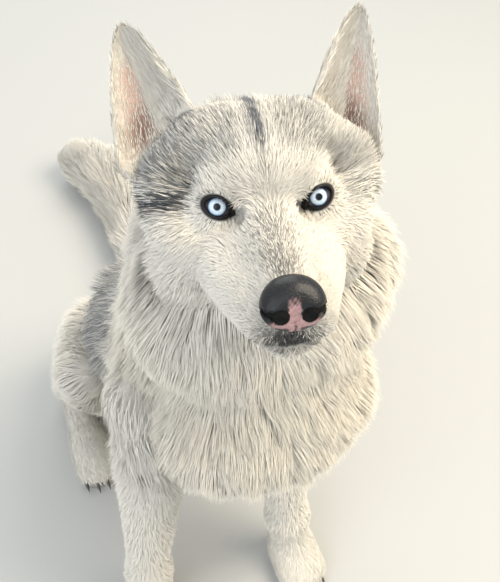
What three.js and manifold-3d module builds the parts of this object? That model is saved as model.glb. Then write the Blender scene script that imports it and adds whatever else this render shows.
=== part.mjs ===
// A sitting husky, life size, looking up past its right shoulder: head, nose, eyes, ears, neck, torso,
// four legs with their claws, and the tail laid out behind. Millimetres, +Z up. The dog faces -Y, its
// left side is +X, and the floor is z = 0.
//
// The flesh of each part is a set of rounded masses melted into one field. Its surface is a loft: rings
// round a centre line, with every point moved out until it meets the field. Long hair is added as locks.
import * as THREE from "three";
import { mergeVertices } from "three/addons/utils/BufferGeometryUtils.js";
import Module from "manifold-3d";

const wasm = await Module();
wasm.setup();

// Driving dimensions.
const eyeHeight = 687; // middle of the eyes above the floor
const headPitch = 24; // degrees that the line of the mouth points up
const headTurn = 15; // degrees that the face turns to the dog's right
const headShift = 42; // how far the head leans to the dog's left
const eyeSpacing = 71;
const eyeRadius = 11.5;
const pawSpacing = 194; // between the middles of the forepaws
const stanceShift = -9; // forepaws to the dog's right of the spine
const hindPawSpacing = 236;
const hindPawBack = 240; // hind paws behind the forepaws
const stifleHeight = 228;
const elbowHeight = 300;
const clawLength = 16;
const clawRadius = 3.4;
const jointGap = 0.3; // kept between pieces that touch
const boxMiddle = [18.52, 368.54]; // middle of the dog's box seen from above, where the origin goes

// Colours of the coat and skin.
const white = 0xe9e6dc;
const silver = 0xb4b7b6;
const grey = 0x8b9094;
const black = 0x1d1c1c;
const iceBlue = 0xa9c8e2;

const { degToRad, lerp, clamp } = THREE.MathUtils;
const vec = (x, y, z) => new THREE.Vector3(x, y, z);
const toVec = (p) => (p.isVector3 ? p.clone() : vec(...p));

// Seeded draws between -1 and 1, so that the locks vary but every build is the same.
function draws(seed) {
  let state = seed;
  return () => {
    state = (state * 1664525 + 1013904223) % 4294967296;
    return (2 * state) / 4294967296 - 1;
  };
}

// A mass is a function from a point to its distance from the mass, negative inside. This one is an
// ellipsoid with radii along X, Y and Z, leaned about X by lean degrees.
function ball(at, size, lean = 0) {
  const centre = toVec(at);
  const radii = toVec(size);
  const turn = new THREE.Quaternion().setFromAxisAngle(vec(1, 0, 0), degToRad(-lean));
  return (point) => {
    const local = point.clone().sub(centre).applyQuaternion(turn);
    const scaled = local.divide(radii);
    const length = scaled.length();
    const slope = scaled.divide(radii).length();
    return slope < 1e-9 ? -Math.min(...radii.toArray()) : (length * (length - 1)) / slope;
  };
}

// A limb that tapers from one radius to another, and is wide times as broad as it is deep.
function limb(from, to, startRadius, endRadius, wide = 1) {
  const start = toVec(from);
  const along = toVec(to).sub(start);
  return (point) => {
    const local = point.clone().sub(start);
    const share = clamp(local.dot(along) / along.lengthSq(), 0, 1);
    local.addScaledVector(along, -share);
    local.x /= wide;
    return (local.length() - lerp(startRadius, endRadius, share)) * Math.min(wide, 1);
  };
}

// Masses melted into each other where they are within blend of one another.
function melt(masses, blend) {
  const soft = (a, b) => Math.min(a, b) - Math.max(blend - Math.abs(a - b), 0) ** 2 / (4 * blend);
  return (point) => masses.map((mass) => mass(point)).reduce(soft);
}

// The same field with hollows pressed into it, soft at their edges.
function pressed(field, hollows, blend) {
  const turned = melt([(point) => -field(point), ...hollows], blend);
  return (point) => -turned(point);
}

// How far from a point inside, in a direction, the field first reaches the level.
function reach(field, from, direction, level) {
  const at = (distance) => field(from.clone().addScaledVector(direction, distance)) - level;
  if (at(0) >= 0) throw new Error("the centre line leaves its masses at " + from.toArray().map(Math.round));
  let near = 0;
  let far = 0;
  while (at(far) < 0) {
    near = far;
    far += Math.max(1.5, -0.6 * at(far));
  }
  for (let halving = 0; halving < 9; halving++) {
    const middle = (near + far) / 2;
    if (at(middle) < 0) near = middle;
    else far = middle;
  }
  return far;
}

// The way that a field's surface faces at a point.
function facing(field, point) {
  const slope = vec(0, 0, 0);
  for (const axis of ["x", "y", "z"]) {
    const ahead = point.clone();
    const behind = point.clone();
    ahead[axis] += 0.5;
    behind[axis] -= 0.5;
    slope[axis] = field(ahead) - field(behind);
  }
  return slope.normalize();
}

// A closed three.js shape as a manifold-3d solid, and back.
function solidOf(geometry) {
  const bare = new THREE.BufferGeometry().setIndex(geometry.index);
  bare.setAttribute("position", geometry.getAttribute("position"));
  const merged = mergeVertices(bare, 1e-4);
  const vertProperties = new Float32Array(merged.attributes.position.array);
  const triVerts = new Uint32Array(merged.index.array);
  return new wasm.Manifold(new wasm.Mesh({ numProp: 3, vertProperties, triVerts }));
}

function geometryOf(solid) {
  const { vertProperties, triVerts } = solid.getMesh();
  return new THREE.BufferGeometry()
    .setAttribute("position", new THREE.BufferAttribute(new Float32Array(vertProperties), 3))
    .setIndex(new THREE.BufferAttribute(new Uint32Array(triVerts), 1));
}

const joined = (solids) => solids.reduce((a, b) => a.add(b));
const without = (solid, cutters) => cutters.reduce((a, b) => a.subtract(b), solid);
const moved = (solid, matrix) => solidOf(geometryOf(solid).applyMatrix4(matrix));

// The same solid on the other side of its own middle plane, x = 0.
function flipped(solid) {
  const geometry = geometryOf(solid).scale(-1, 1, 1);
  return solidOf(geometry.setIndex(new THREE.BufferAttribute(geometry.index.array.reverse(), 1)));
}

// Only the largest closed surface, so that no scrap and no sealed hollow stays.
function largest(solid) {
  const pieces = solid.decompose();
  return pieces.reduce((a, b) => (Math.abs(b.volume()) > Math.abs(a.volume()) ? b : a));
}

// A closed surface from rings of points, with a single point at each end.
function skinned(startPole, rings, endPole) {
  const sides = rings[0].length;
  const last = rings.length - 1;
  const points = [startPole, ...rings.flat(), endPole];
  const corner = (ring, side) => 1 + ring * sides + (side % sides);
  const faces = [];
  for (let side = 0; side < sides; side++) {
    faces.push(0, corner(0, side + 1), corner(0, side));
    for (let ring = 0; ring < last; ring++) {
      const [a, b] = [corner(ring, side), corner(ring, side + 1)];
      const [c, d] = [corner(ring + 1, side), corner(ring + 1, side + 1)];
      faces.push(a, b, d, a, d, c);
    }
    faces.push(points.length - 1, corner(last, side), corner(last, side + 1));
  }
  const geometry = new THREE.BufferGeometry().setFromPoints(points).setIndex(faces);
  const solid = solidOf(geometry);
  return solid.volume() > 0 ? solid : solidOf(geometry.setIndex(faces.reverse()));
}

// Lofts a field round a centre line. grow moves the surface out, for a cutter that leaves a gap.
function loft(field, line, ringCount, sides, grow = 0) {
  const inner = new THREE.CatmullRomCurve3(line.map(toVec));
  const [start, end] = [0, 1].map((t) => {
    const out = inner.getTangent(t).multiplyScalar(t ? 1 : -1);
    return inner.getPoint(t).addScaledVector(out, reach(field, inner.getPoint(t), out, 0));
  });
  const curve = new THREE.CatmullRomCurve3([start, ...line.map(toVec), end]);
  const ringAt = (share) => {
    const centre = curve.getPointAt(share);
    const along = curve.getTangentAt(share);
    const across = vec(1, 0, 0).addScaledVector(along, -along.x).normalize();
    const up = along.clone().cross(across);
    return Array.from({ length: sides }, (_, side) => {
      const angle = (2 * Math.PI * side) / sides;
      const out = across.clone().multiplyScalar(Math.cos(angle)).addScaledVector(up, Math.sin(angle));
      return centre.clone().addScaledVector(out, reach(field, centre, out, grow));
    });
  };
  // Rings stand closer together near the two ends, where the surface turns over.
  const rings = Array.from({ length: ringCount }, (_, ring) => {
    const even = (ring + 1) / (ringCount + 1);
    return ringAt(lerp(even, 0.5 - 0.5 * Math.cos(Math.PI * even), 0.7));
  });
  const poles = [start, end].map((pole, t) => {
    return pole.clone().addScaledVector(inner.getTangent(t), t ? grow : -grow);
  });
  return skinned(poles[0], rings, poles[1]);
}

// A slab that holds all that lies behind a plane, up to gap in front of it.
function behindPlane(point, normal, gap = 0) {
  const size = 3000;
  const out = toVec(normal).normalize();
  const turn = new THREE.Quaternion().setFromUnitVectors(vec(0, 0, 1), out);
  const middle = toVec(point).addScaledVector(out, gap - size / 2);
  const slab = new THREE.BoxGeometry(size, size, size);
  return solidOf(slab.applyMatrix4(new THREE.Matrix4().compose(middle, turn, vec(1, 1, 1))));
}

const floorSlab = behindPlane([0, 0, 0], [0, 0, 1]);

// One lock of hair: a flat tapered blade with its root sunk in a field. It follows the surface the way
// that the hair lies, and rises to the tips of the coat.
function lock(field, { root, lie, length, width, thick, lift }, grow) {
  const settle = (point) => {
    const nearer = point.clone().addScaledVector(facing(field, point), -field(point));
    return nearer.addScaledVector(facing(field, nearer), -field(nearer));
  };
  const firstOut = facing(field, root);
  const along = lie.clone().addScaledVector(firstOut, -lie.dot(firstOut)).normalize();
  const across = along.clone().cross(firstOut);
  const place = (share, rise) => {
    const point = settle(root.clone().addScaledVector(along, share * length));
    const slope = facing(field, point);
    const out = slope.addScaledVector(across, -slope.dot(across)).normalize();
    return { out, point: point.addScaledVector(out, rise) };
  };
  const stations = [
    { share: 0, rise: -9, size: 0.7 },
    { share: 0.36, rise: lift * 0.45, size: 1 },
    { share: 0.72, rise: lift * 0.85, size: 0.66 },
  ];
  const rings = stations.map(({ share, rise, size }) => {
    const { out, point } = place(share, rise);
    const half = (width * size) / 2 + grow;
    const depth = (thick * size) / 2 + grow;
    return [
      point.clone().addScaledVector(across, half),
      point.clone().addScaledVector(out, depth),
      point.clone().addScaledVector(across, -half),
      point.clone().addScaledVector(out, -depth),
    ];
  });
  const tip = place(1, lift * 1.1).point;
  const onward = tip.clone().sub(place(0.72, lift * 0.85).point).setLength(3 * grow);
  return skinned(place(-0.06, -12).point, rings, tip.add(onward));
}

// Locks rooted where a ray from inside meets the field, each varied a little. A spot gives that ray as
// from and toward, and the way the hair lies.
function locks(field, spots, { length, width, thick, lift }, seed, grow = 0) {
  const draw = draws(seed);
  return spots.map(({ from, toward, lie }) => {
    const inside = toVec(from);
    const ray = toVec(toward).normalize();
    const root = inside.clone().addScaledVector(ray, reach(field, inside, ray, 0));
    const size = 1 + 0.14 * draw();
    const lean = vec(draw(), draw(), draw()).multiplyScalar(0.14);
    const own = { root, lie: toVec(lie).normalize().add(lean), length: length * size, width: width * size };
    return lock(field, { ...own, thick, lift: lift * (1 + 0.25 * draw()) }, grow);
  });
}

// Spots in a row round an upright axis, over an arc either side of straight ahead, in degrees.
function rowOfSpots(from, arc, count, lie, offset = 0) {
  return Array.from({ length: count }, (_, i) => {
    const angle = degToRad(offset + lerp(-arc, arc, count > 1 ? i / (count - 1) : 0.5));
    return { from, toward: [Math.sin(angle), -Math.cos(angle), 0], lie: lie(angle) };
  });
}

// The head's own frame: x to the dog's left, y back along the mouth, z up, from between the eyes. Its
// pieces are made there, the left one of each pair first, and then put in place.
const [turn, pitch] = [degToRad(headTurn), degToRad(headPitch)];
const headLeft = vec(Math.cos(turn), -Math.sin(turn), 0);
const headBack = vec(Math.sin(turn) * Math.cos(pitch), Math.cos(turn) * Math.cos(pitch), -Math.sin(pitch));
const headPlace = new THREE.Matrix4()
  .makeBasis(headLeft, headBack, headLeft.clone().cross(headBack))
  .setPosition(headShift, 0, eyeHeight);
const onBothSides = (make) => [make(1), make(-1)];

const eye = {
  middle: vec(eyeSpacing / 2, 4, -1),
  look: vec(0.1, -1, 0.28).normalize(),
  lid: 2.1, // thickness of the lids
  wide: 20.8, // opening from corner to corner
  high: 15,
  slant: 27, // degrees that the outer corner is higher
};

function eyeGlobe(grow = 0) {
  const globe = new THREE.IcosahedronGeometry(eyeRadius + grow, 2);
  return solidOf(globe.translate(...eye.middle.toArray()));
}

// The almond opening between the lids, as a prism from the middle of the globe outward.
function eyeOpening() {
  const [w, h] = [eye.wide / 2, eye.high / 2];
  const almond = new THREE.Shape();
  almond.moveTo(-w, 0);
  almond.bezierCurveTo(-w * 0.5, h * 1.3, w * 0.5, h * 1.5, w, 0);
  almond.bezierCurveTo(w * 0.5, -h * 1.2, -w * 0.6, -h * 1.3, -w, 0);
  const prism = new THREE.ExtrudeGeometry(almond, { depth: 30, bevelEnabled: false, curveSegments: 6 });
  const across = vec(1, 0, 0).addScaledVector(eye.look, -eye.look.x).normalize();
  across.applyAxisAngle(eye.look, degToRad(eye.slant));
  const frame = new THREE.Matrix4().makeBasis(across, eye.look.clone().cross(across), eye.look);
  return solidOf(prism.applyMatrix4(frame.setPosition(eye.middle)));
}

const headMasses = melt(
  [
    ball([0, 58, 4], [60, 70, 56]), // skull
    ball([0, 22, 14], [44, 40, 32]), // forehead
    ...onBothSides((side) => ball([side * 27, 9, 15], [18, 13, 10])), // brows
    ...onBothSides((side) => ball([side * 34, 58, 30], [33, 34, 27])), // between the ears
    ...onBothSides((side) => ball([side * 57, 52, -4], [38, 40, 42])), // temples
    ...onBothSides((side) => ball([side * 49, 34, -26], [37, 38, 34])), // cheekbones
    ...onBothSides((side) => ball([side * 50, 44, -56], [38, 38, 32])), // jaw muscles and cheek fur
    limb([0, -6, -28], [0, -74, -38], 34, 24, 0.94), // muzzle
    limb([0, -8, -10], [0, -82, -27], 17, 12), // bridge of the nose
    ...onBothSides((side) => limb([side * 31, 12, -37], [side * 17, -59, -43], 28, 16)), // sides of the muzzle
    ...onBothSides((side) => limb([side * 29, -13, -52], [side * 16, -79, -51.5], 22, 15)), // upper lips
    limb([0, 12, -65], [0, -75, -66.5], 33, 16.5), // lower jaw
    limb([0, 60, -8], [0, 96, -34], 60, 62), // nape
    ...onBothSides((side) => ball([side * eye.middle.x, 7, -1], Array(3).fill(eyeRadius + eye.lid))), // lids
  ],
  13,
);
// The inner corner of each eye lies in a hollow beside the bridge of the nose.
const eyeCorners = onBothSides((side) => ball([side * 22, -9, -4], [7.5, 9, 7.5]));
const headField = pressed(headMasses, eyeCorners, 5);
const headLine = [[0, -70, -42], [0, -30, -36], [0, 10, -24], [0, 60, -12], [0, 100, -16]];

// The fur of each cheek: locks that sweep back, out and down from below the ear to the jaw.
const cheekRows = [
  { y: 34, z: -40, slope: -28 },
  { y: 38, z: -66, slope: -44 },
];

function cheekLocks(grow = 0) {
  const spots = cheekRows.flatMap(({ y, z, slope }) => {
    const lie = vec(0.35, Math.cos(degToRad(slope)), Math.sin(degToRad(slope)));
    return [0, 1].map((step) => ({ from: [30, y + 26 * step - 12, z], toward: [1, 0, 0], lie }));
  });
  return locks(headField, spots, { length: 64, width: 36, thick: 8, lift: 15 }, 11, grow);
}

// A thin sheet in the shape of a curve seen from the side, kept only where it cuts the skin to a depth.
function groove(points, halfThick, halfWide, depth) {
  const line = new THREE.SplineCurve(points.map(([y, z]) => new THREE.Vector2(y, z))).getPoints(5);
  const outline = [
    ...line.map((p) => new THREE.Vector2(p.x, p.y + halfThick)),
    ...line.reverse().map((p) => new THREE.Vector2(p.x, p.y - halfThick)),
  ];
  const extent = { depth: 2 * halfWide, bevelEnabled: false };
  const sheet = new THREE.ExtrudeGeometry(new THREE.Shape(outline), extent);
  const upright = new THREE.Matrix4().makeBasis(vec(0, 1, 0), vec(0, 0, 1), vec(1, 0, 0));
  sheet.translate(0, 0, -halfWide).applyMatrix4(upright);
  return solidOf(sheet).subtract(loft(headField, headLine, 8, 12, -depth));
}

const mouth = {
  line: [[16, -62], [-26, -58], [-64, -61], [-108, -65]], // from the corner of the mouth to past the lips
  gap: 0.9,
  depth: 4,
  philtrum: [[-108, -41], [-70, -62]], // y and z of its two ends
};

const noseField = melt(
  [
    ball([0, -93, -27], [18.3, 13, 13]),
    ...onBothSides((side) => ball([side * 11.2, -97, -32], [9.3, 10, 9.8])), // wings
    ball([0, -96, -41], [13.5, 9, 8]), // foot of the pad
  ],
  6,
);
const noseLine = [[0, -87, -30], [0, -99, -32]];
const nose = (grow = 0) => loft(noseField, noseLine, 8, 16, grow);

// A small ellipsoid that cuts a nostril, turned about Z by spin degrees.
function nostrilCutter(at, size, spin) {
  const blob = new THREE.SphereGeometry(1, 9, 6).scale(...size).rotateZ(degToRad(spin));
  return solidOf(blob.translate(...at));
}

function nostrils() {
  const round = nostrilCutter([8.9, -106, -34.5], [4.3, 10, 4.9], 4);
  const slit = nostrilCutter([15, -101, -34], [6.5, 8, 1.7], 30);
  const left = round.add(slit);
  return left.add(flipped(left));
}

// An upright ear: a shell with a round point and a cup that opens forward, its foot sunk in the skull.
// The right ear is turned out a little more than the left.
const ear = {
  tip: vec(85, 74, 113),
  inner: vec(39, 52, 52), // where the front edge leaves the top of the head
  outer: vec(95, 46, 6), // foot of the outer edge
  spread: { left: vec(0, 0, 0), right: vec(10, 0, 10) }, // how much further out the foot of the outer edge is
  cup: 26, // depth of the hollow at the foot
  thick: 8, // with its short fur
  foot: -0.2, // how far the shell goes on into the skull
};

function earShell(spread, grow = 0) {
  const [tall, broad] = [7, 8];
  const tip = ear.tip.clone().setX(ear.tip.x + spread.x / 2);
  const outer = ear.outer.clone().add(spread);
  const base = ear.inner.clone().lerp(outer, 0.5);
  const half = outer.clone().sub(ear.inner).multiplyScalar(0.5);
  const backward = vec(-0.15, 1, -0.15).normalize();
  const point = (share, across, side) => {
    // Convex edges that meet in a round point, and below them a foot that narrows into the skull.
    const width = share < 0 ? 1 + 1.6 * share : (1 - share) ** 0.58;
    const hollow = 1 - across ** 2;
    const depth = ear.cup * hollow * width;
    const wall = (ear.thick / 2) * (0.45 + 0.55 * hollow) * Math.min(0.35 + width, 1) + grow;
    const middle = base.clone().lerp(tip, share).addScaledVector(half, across * width);
    return middle.addScaledVector(backward, depth + side * wall);
  };
  const ringAt = (share) => [
    ...Array.from({ length: broad + 1 }, (_, i) => point(share, (2 * i) / broad - 1, -1)),
    ...Array.from({ length: broad + 1 }, (_, i) => point(share, 1 - (2 * i) / broad, 1)),
  ];
  // Rings stand closer together toward the tip, where the edges curve most.
  const shares = Array.from({ length: tall }, (_, i) => {
    return lerp(ear.foot, 0.985, Math.sin((i * Math.PI) / 2 / (tall - 1)));
  });
  const foot = point(ear.foot, 0, 0).addScaledVector(backward, -6);
  return skinned(foot, shares.map(ringAt), point(1, 0, 0));
}

// The head without its holes, for cutting what it meets.
function headForm(grow = 0) {
  const left = cheekLocks(grow);
  return joined([loft(headField, headLine, 23, 24, grow), ...left, ...left.map(flipped)]);
}

function headSolid() {
  const openings = eyeGlobe(jointGap).add(eyeOpening());
  const lipLine = groove(mouth.line, mouth.gap, 60, mouth.depth);
  const philtrum = groove(mouth.philtrum, 8, 0.8, 3);
  return without(headForm(), [openings, flipped(openings), lipLine, philtrum, nose(jointGap)]);
}

// Trunk: seat, loin, ribs, chest and neck, one line from the seat up to the back of the skull.
const trunkField = melt(
  [
    ball([0, 325, 100], [82, 84, 106]), // seat
    limb([4, 300, 165], [12, 215, 285], 92, 98), // loin
    limb([14, 205, 300], [34, 92, 415], 100, 112), // ribs
    ball([47, 1, 405], [116, 72, 101], -8), // forechest
    limb([54, 66, 480], [58, 76, 570], 116, 98), // neck
    limb([50, 80, 570], [52, 96, 632], 94, 62),
    ball([59, 42, 540], [130, 90, 88], 20), // ruff
  ],
  30,
);
const trunkLine = [
  [0, 322, 108],
  [5, 268, 190],
  [14, 200, 292],
  [32, 108, 395],
  [46, 72, 470],
  [52, 76, 545],
  [52, 92, 610],
];
const neckCut = { point: [20, 70, 500], normal: [0.12, -0.2, 1] };
const chestCut = { point: [8, 175, 325], normal: [0.05, -0.6, 0.8] };

// Under the long hair of the neck and chest the core is lower than the tips.
const longCoat = 24;

function trunkCore(point) {
  const share = clamp((point.z - 320) / 80, 0, 1) * clamp((175 - point.y) / 70, 0, 1);
  return trunkField(point) + longCoat * share;
}
const trunk = (grow = 0) => loft(trunkCore, trunkLine, 20, 22, grow);

// Down the neck and chest, turned a little outward at the sides.
const ruffLie = (angle) => vec(0.35 * Math.sin(angle), -0.25 * Math.cos(angle), -1);
const ruffRows = [
  rowOfSpots([54, 84, 604], 104, 7, ruffLie),
  rowOfSpots([54, 76, 562], 112, 9, ruffLie, 4),
  rowOfSpots([50, 70, 522], 116, 9, ruffLie, -3),
];
const chestRows = [
  rowOfSpots([48, 44, 452], 60, 5, ruffLie),
  rowOfSpots([44, 34, 410], 52, 5, ruffLie, 6),
  rowOfSpots([38, 24, 368], 44, 4, ruffLie, -4),
];
const ruffLock = { length: 108, width: 52, thick: 9, lift: 24 };
const ruff = (grow = 0) => locks(trunkCore, ruffRows.flat(), ruffLock, 23, grow);
const chestHair = (grow = 0) => locks(trunkCore, chestRows.flat(), ruffLock, 37, grow);

// A foreleg, from the shoulder down to the paw. The paws stand wider than the elbows.
const forepawAt = (side) => [stanceShift + (side * pawSpacing) / 2, -8];

function foreleg(side, grow = 0) {
  const elbow = 6 + side * 74;
  const [paw, pawBack] = forepawAt(side);
  const wrist = lerp(elbow, paw, 0.85);
  const middle = lerp(elbow, paw, 0.45);
  const field = melt(
    [
      limb([elbow - side * 8, 56, 408], [elbow, 44, elbowHeight], 52, 42, 0.8),
      limb([elbow, 43, elbowHeight], [wrist, 18, 100], 39, 25),
      ball([wrist, 16, 92], [27, 28, 25]),
      limb([wrist, 14, 86], [paw, 2, 38], 24, 26),
      ball([paw, pawBack, 22], [32, 42, 28]),
    ],
    16,
  );
  const line = [
    [elbow - side * 6, 54, 400],
    [elbow, 45, 300],
    [middle, 34, 205],
    [wrist, 17, 98],
    [paw, 0, 44],
    [paw, -18, 20],
  ];
  return joined([loft(field, line, 14, 12, grow), ...toes(paw, pawBack, grow)]).subtract(floorSlab);
}

// Four toes at the front of a paw, the middle two further out.
const toePitch = 14.5;
const toePlaces = [-1.5, -0.5, 0.5, 1.5].map((place) => {
  return { x: place * toePitch, y: -36 + 5 * Math.abs(place) ** 1.5 };
});

function toes(pawX, pawY, grow) {
  return toePlaces.map(({ x, y }) => {
    const toe = new THREE.SphereGeometry(1, 7, 5).scale(10 + grow, 16 + grow, 15 + grow);
    return solidOf(toe.translate(pawX + x, pawY + y, 13.5));
  });
}

// A claw: a cone that bends down in front of its toe.
function claw(pawX, pawY, { x, y }) {
  const rings = [0, 0.35, 0.7].map((share) =>
    Array.from({ length: 6 }, (_, i) => {
      const angle = (i * Math.PI) / 3;
      const radius = clawRadius * (1 - share * 0.75);
      return vec(radius * Math.cos(angle), -share * clawLength, radius * Math.sin(angle) - 5 * share ** 2);
    }),
  );
  const form = skinned(vec(0, 1, 0), rings, vec(0, -clawLength, -6));
  return moved(form, new THREE.Matrix4().makeTranslation(pawX + x, pawY + y - 11, 14));
}

// A folded hind leg: the thigh forward to the stifle and the shank back to the hock.
const hind = { hip: 60, stifle: 96, hock: 112 }; // distances from the spine
const hindpawAt = (side) => [(side * hindPawSpacing) / 2, hindPawBack];

function hindleg(side, grow = 0) {
  const [hip, stifle, hock] = [side * hind.hip, side * hind.stifle, side * hind.hock];
  const thigh = melt(
    [
      limb([hip, 318, 130], [stifle, 226, stifleHeight], 88, 46, 0.72),
      ball([hip + side * 4, 330, 96], [54, 72, 84]),
      limb([stifle, 226, stifleHeight - 6], [hock, 336, 76], 42, 28, 0.9),
    ],
    22,
  );
  const thighLine = [[hip, 318, 110], [lerp(hip, stifle, 0.5), 272, 178], [stifle, 228, 224]];
  const shankLine = [[stifle + side * 6, 264, 176], [hock, 334, 80]];
  return joined([
    loft(thigh, thighLine, 9, 12, grow),
    loft(thigh, shankLine, 4, 8, grow),
    ...breeches(thigh, side, grow),
  ]).subtract(floorSlab);
}

// The long hair behind each thigh, which hangs down and back beside the seat.
function breeches(thigh, side, grow) {
  const spots = [150, 112, 76].flatMap((height, row) =>
    [62, 24].map((angle) => ({
      from: [side * (hind.hip + 12), 322 + 4 * row, height],
      toward: [side * Math.cos(degToRad(angle)), Math.sin(degToRad(angle)), 0],
      lie: [side * 0.15, 0.45, -1],
    })),
  );
  return locks(thigh, spots, { length: 78, width: 44, thick: 9, lift: 14 }, side > 0 ? 61 : 67, grow);
}

// The hind foot, flat on the floor from the hock forward to the toes.
function hindfoot(side, grow = 0) {
  const [paw, pawBack] = hindpawAt(side);
  const hock = side * hind.hock;
  const foot = melt(
    [
      ball([hock, 354, 38], [23, 27, 34]),
      limb([hock, 346, 34], [paw, 268, 28], 25, 24),
      ball([paw, pawBack, 21], [31, 42, 27]),
    ],
    14,
  );
  const footLine = [[hock, 352, 38], [lerp(hock, paw, 0.5), 300, 31], [paw, pawBack, 22]];
  return joined([loft(foot, footLine, 8, 10, grow), ...toes(paw, pawBack, grow)]).subtract(floorSlab);
}

// The tail, laid on the floor behind the seat, with its end bent to the right.
const tailField = melt(
  [
    limb([6, 380, 70], [46, 480, 46], 42, 44),
    limb([46, 480, 46], [76, 600, 46], 44, 48),
    limb([76, 600, 46], [74, 730, 52], 48, 58),
    limb([74, 730, 52], [34, 812, 46], 58, 46),
  ],
  20,
);
const tailLine = [[6, 384, 68], [46, 480, 46], [76, 600, 46], [74, 730, 50], [38, 804, 46]];
// Its core is lower than the tips, and rings of locks lie back along it, clear of the floor.
const tailCore = (point) => tailField(point) + 14;
const tailRings = [
  { x: 36, y: 450, z: 54, bend: 0.35 },
  { x: 66, y: 550, z: 50, bend: 0.2 },
  { x: 77, y: 645, z: 50, bend: 0 },
  { x: 72, y: 735, z: 50, bend: -0.5 },
];

function tailLocks(grow = 0) {
  const spots = tailRings.flatMap(({ x, y, z, bend }, ring) =>
    Array.from({ length: 5 }, (_, i) => {
      const angle = degToRad(-12 + 51 * i + (ring % 2 ? 8 : -6));
      return { from: [x, y, z], toward: [Math.cos(angle), 0, Math.sin(angle)], lie: [bend, 1, 0] };
    }),
  );
  return locks(tailCore, spots, { length: 128, width: 48, thick: 8, lift: 15 }, 51, grow);
}

function tail(grow = 0) {
  return joined([loft(tailCore, tailLine, 11, 10, grow), ...tailLocks(grow)]).subtract(floorSlab);
}

// Everything in place.
const heads = (solid) => moved(solid, headPlace);
const headCutter = heads(headForm(jointGap));
const ears = (grow) => {
  return [earShell(ear.spread.left, grow), flipped(earShell(ear.spread.right, grow))].map(heads);
};
const sides = [
  { name: "left", sign: 1 },
  { name: "right", sign: -1 },
];
const trunkCutter = trunk(jointGap);
const thighCutters = sides.map(({ sign }) => hindleg(sign, jointGap));
const feet = sides.flatMap(({ name, sign }, i) => {
  const below = (grow) => hindfoot(sign, grow).subtract(thighCutters[i]);
  return [
    { name: "foreleg_" + name, make: (grow) => foreleg(sign, grow), paw: forepawAt(sign) },
    { name: "hindfoot_" + name, make: below, paw: hindpawAt(sign) },
  ];
});
const footCutters = feet.map((foot) => foot.make(jointGap));
const tailCutter = tail(jointGap).add(trunkCutter);

// All that lies on one side of a cut, and half the gap past it.
const sideOf = ({ point, normal }, sign) => {
  return behindPlane(point, toVec(normal).multiplyScalar(sign), jointGap / 2);
};
const core = trunk();
const collar = joined([core.subtract(sideOf(neckCut, 1)), ...ruff()]);
const breast = joined([without(core, [sideOf(neckCut, -1), sideOf(chestCut, 1)]), ...chestHair()]);
const bodyCutter = joined([trunkCutter, ...ruff(jointGap), ...chestHair(jointGap)]);

const pieces = [
  { name: "head", colour: white, solid: heads(headSolid()) },
  { name: "nose", colour: black, roughness: 0.35, solid: heads(nose().subtract(nostrils())) },
  { name: "eye_left", colour: iceBlue, roughness: 0.05, solid: heads(eyeGlobe()) },
  { name: "eye_right", colour: iceBlue, roughness: 0.05, solid: heads(flipped(eyeGlobe())) },
  { name: "neck", colour: white, solid: without(collar, [headCutter, ...ears(jointGap)]) },
  { name: "chest", colour: white, solid: breast.subtract(joined(ruff(jointGap))) },
  { name: "torso", colour: grey, solid: without(core, [sideOf(chestCut, -1), floorSlab]) },
  { name: "tail", colour: white, solid: tail().subtract(bodyCutter) },
];
ears(0).forEach((shell, i) => {
  pieces.push({ name: "ear_" + sides[i].name, colour: white, solid: shell.subtract(headCutter) });
});
sides.forEach(({ name, sign }) => {
  pieces.push({ name: "hindleg_" + name, colour: silver, solid: hindleg(sign).subtract(tailCutter) });
});
feet.forEach(({ name, make, paw }, i) => {
  pieces.push({ name, colour: white, solid: make(0).subtract(bodyCutter) });
  const claws = name.replace("leg", "").replace("foot", "");
  toePlaces.forEach((toe, place) => {
    const solid = claw(...paw, toe).subtract(footCutters[i]);
    pieces.push({ name: "claw_" + claws + "_" + (place + 1), colour: black, roughness: 0.4, solid });
  });
});

const dog = new THREE.Group();
for (const { name, colour, solid, roughness = 0.9 } of pieces) {
  const material = new THREE.MeshStandardMaterial({ color: colour, roughness, metalness: 0 });
  const mesh = new THREE.Mesh(geometryOf(largest(solid)), material);
  mesh.name = name;
  mesh.position.set(-boxMiddle[0], -boxMiddle[1], 0);
  dog.add(mesh);
}

export default dog;
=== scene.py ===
import math

import bpy
import numpy as np
from mathutils import Matrix, Vector, kdtree


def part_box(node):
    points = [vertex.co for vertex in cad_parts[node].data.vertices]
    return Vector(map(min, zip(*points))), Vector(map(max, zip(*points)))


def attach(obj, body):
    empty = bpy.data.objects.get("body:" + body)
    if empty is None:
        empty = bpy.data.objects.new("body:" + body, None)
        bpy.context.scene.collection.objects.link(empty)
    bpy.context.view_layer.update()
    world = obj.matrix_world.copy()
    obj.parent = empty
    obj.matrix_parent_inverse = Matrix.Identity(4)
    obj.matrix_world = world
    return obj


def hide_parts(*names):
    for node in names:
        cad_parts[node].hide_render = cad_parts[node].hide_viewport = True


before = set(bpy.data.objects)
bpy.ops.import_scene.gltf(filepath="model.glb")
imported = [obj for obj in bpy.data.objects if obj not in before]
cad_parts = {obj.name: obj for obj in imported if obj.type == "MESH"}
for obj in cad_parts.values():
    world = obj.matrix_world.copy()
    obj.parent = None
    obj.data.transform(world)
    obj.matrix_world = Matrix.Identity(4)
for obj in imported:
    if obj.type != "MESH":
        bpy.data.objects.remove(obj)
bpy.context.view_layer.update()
print("frame loaded:", len(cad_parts), "nodes")


# sRGB hex to linear red, green and blue
def linear(colour):
    parts = [int(colour[i : i + 2], 16) / 255 for i in (0, 2, 4)]
    return [c / 12.92 if c <= 0.04045 else ((c + 0.055) / 1.055) ** 2.4 for c in parts]


def colourOf(colour):
    return np.array(linear(colour))


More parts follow.
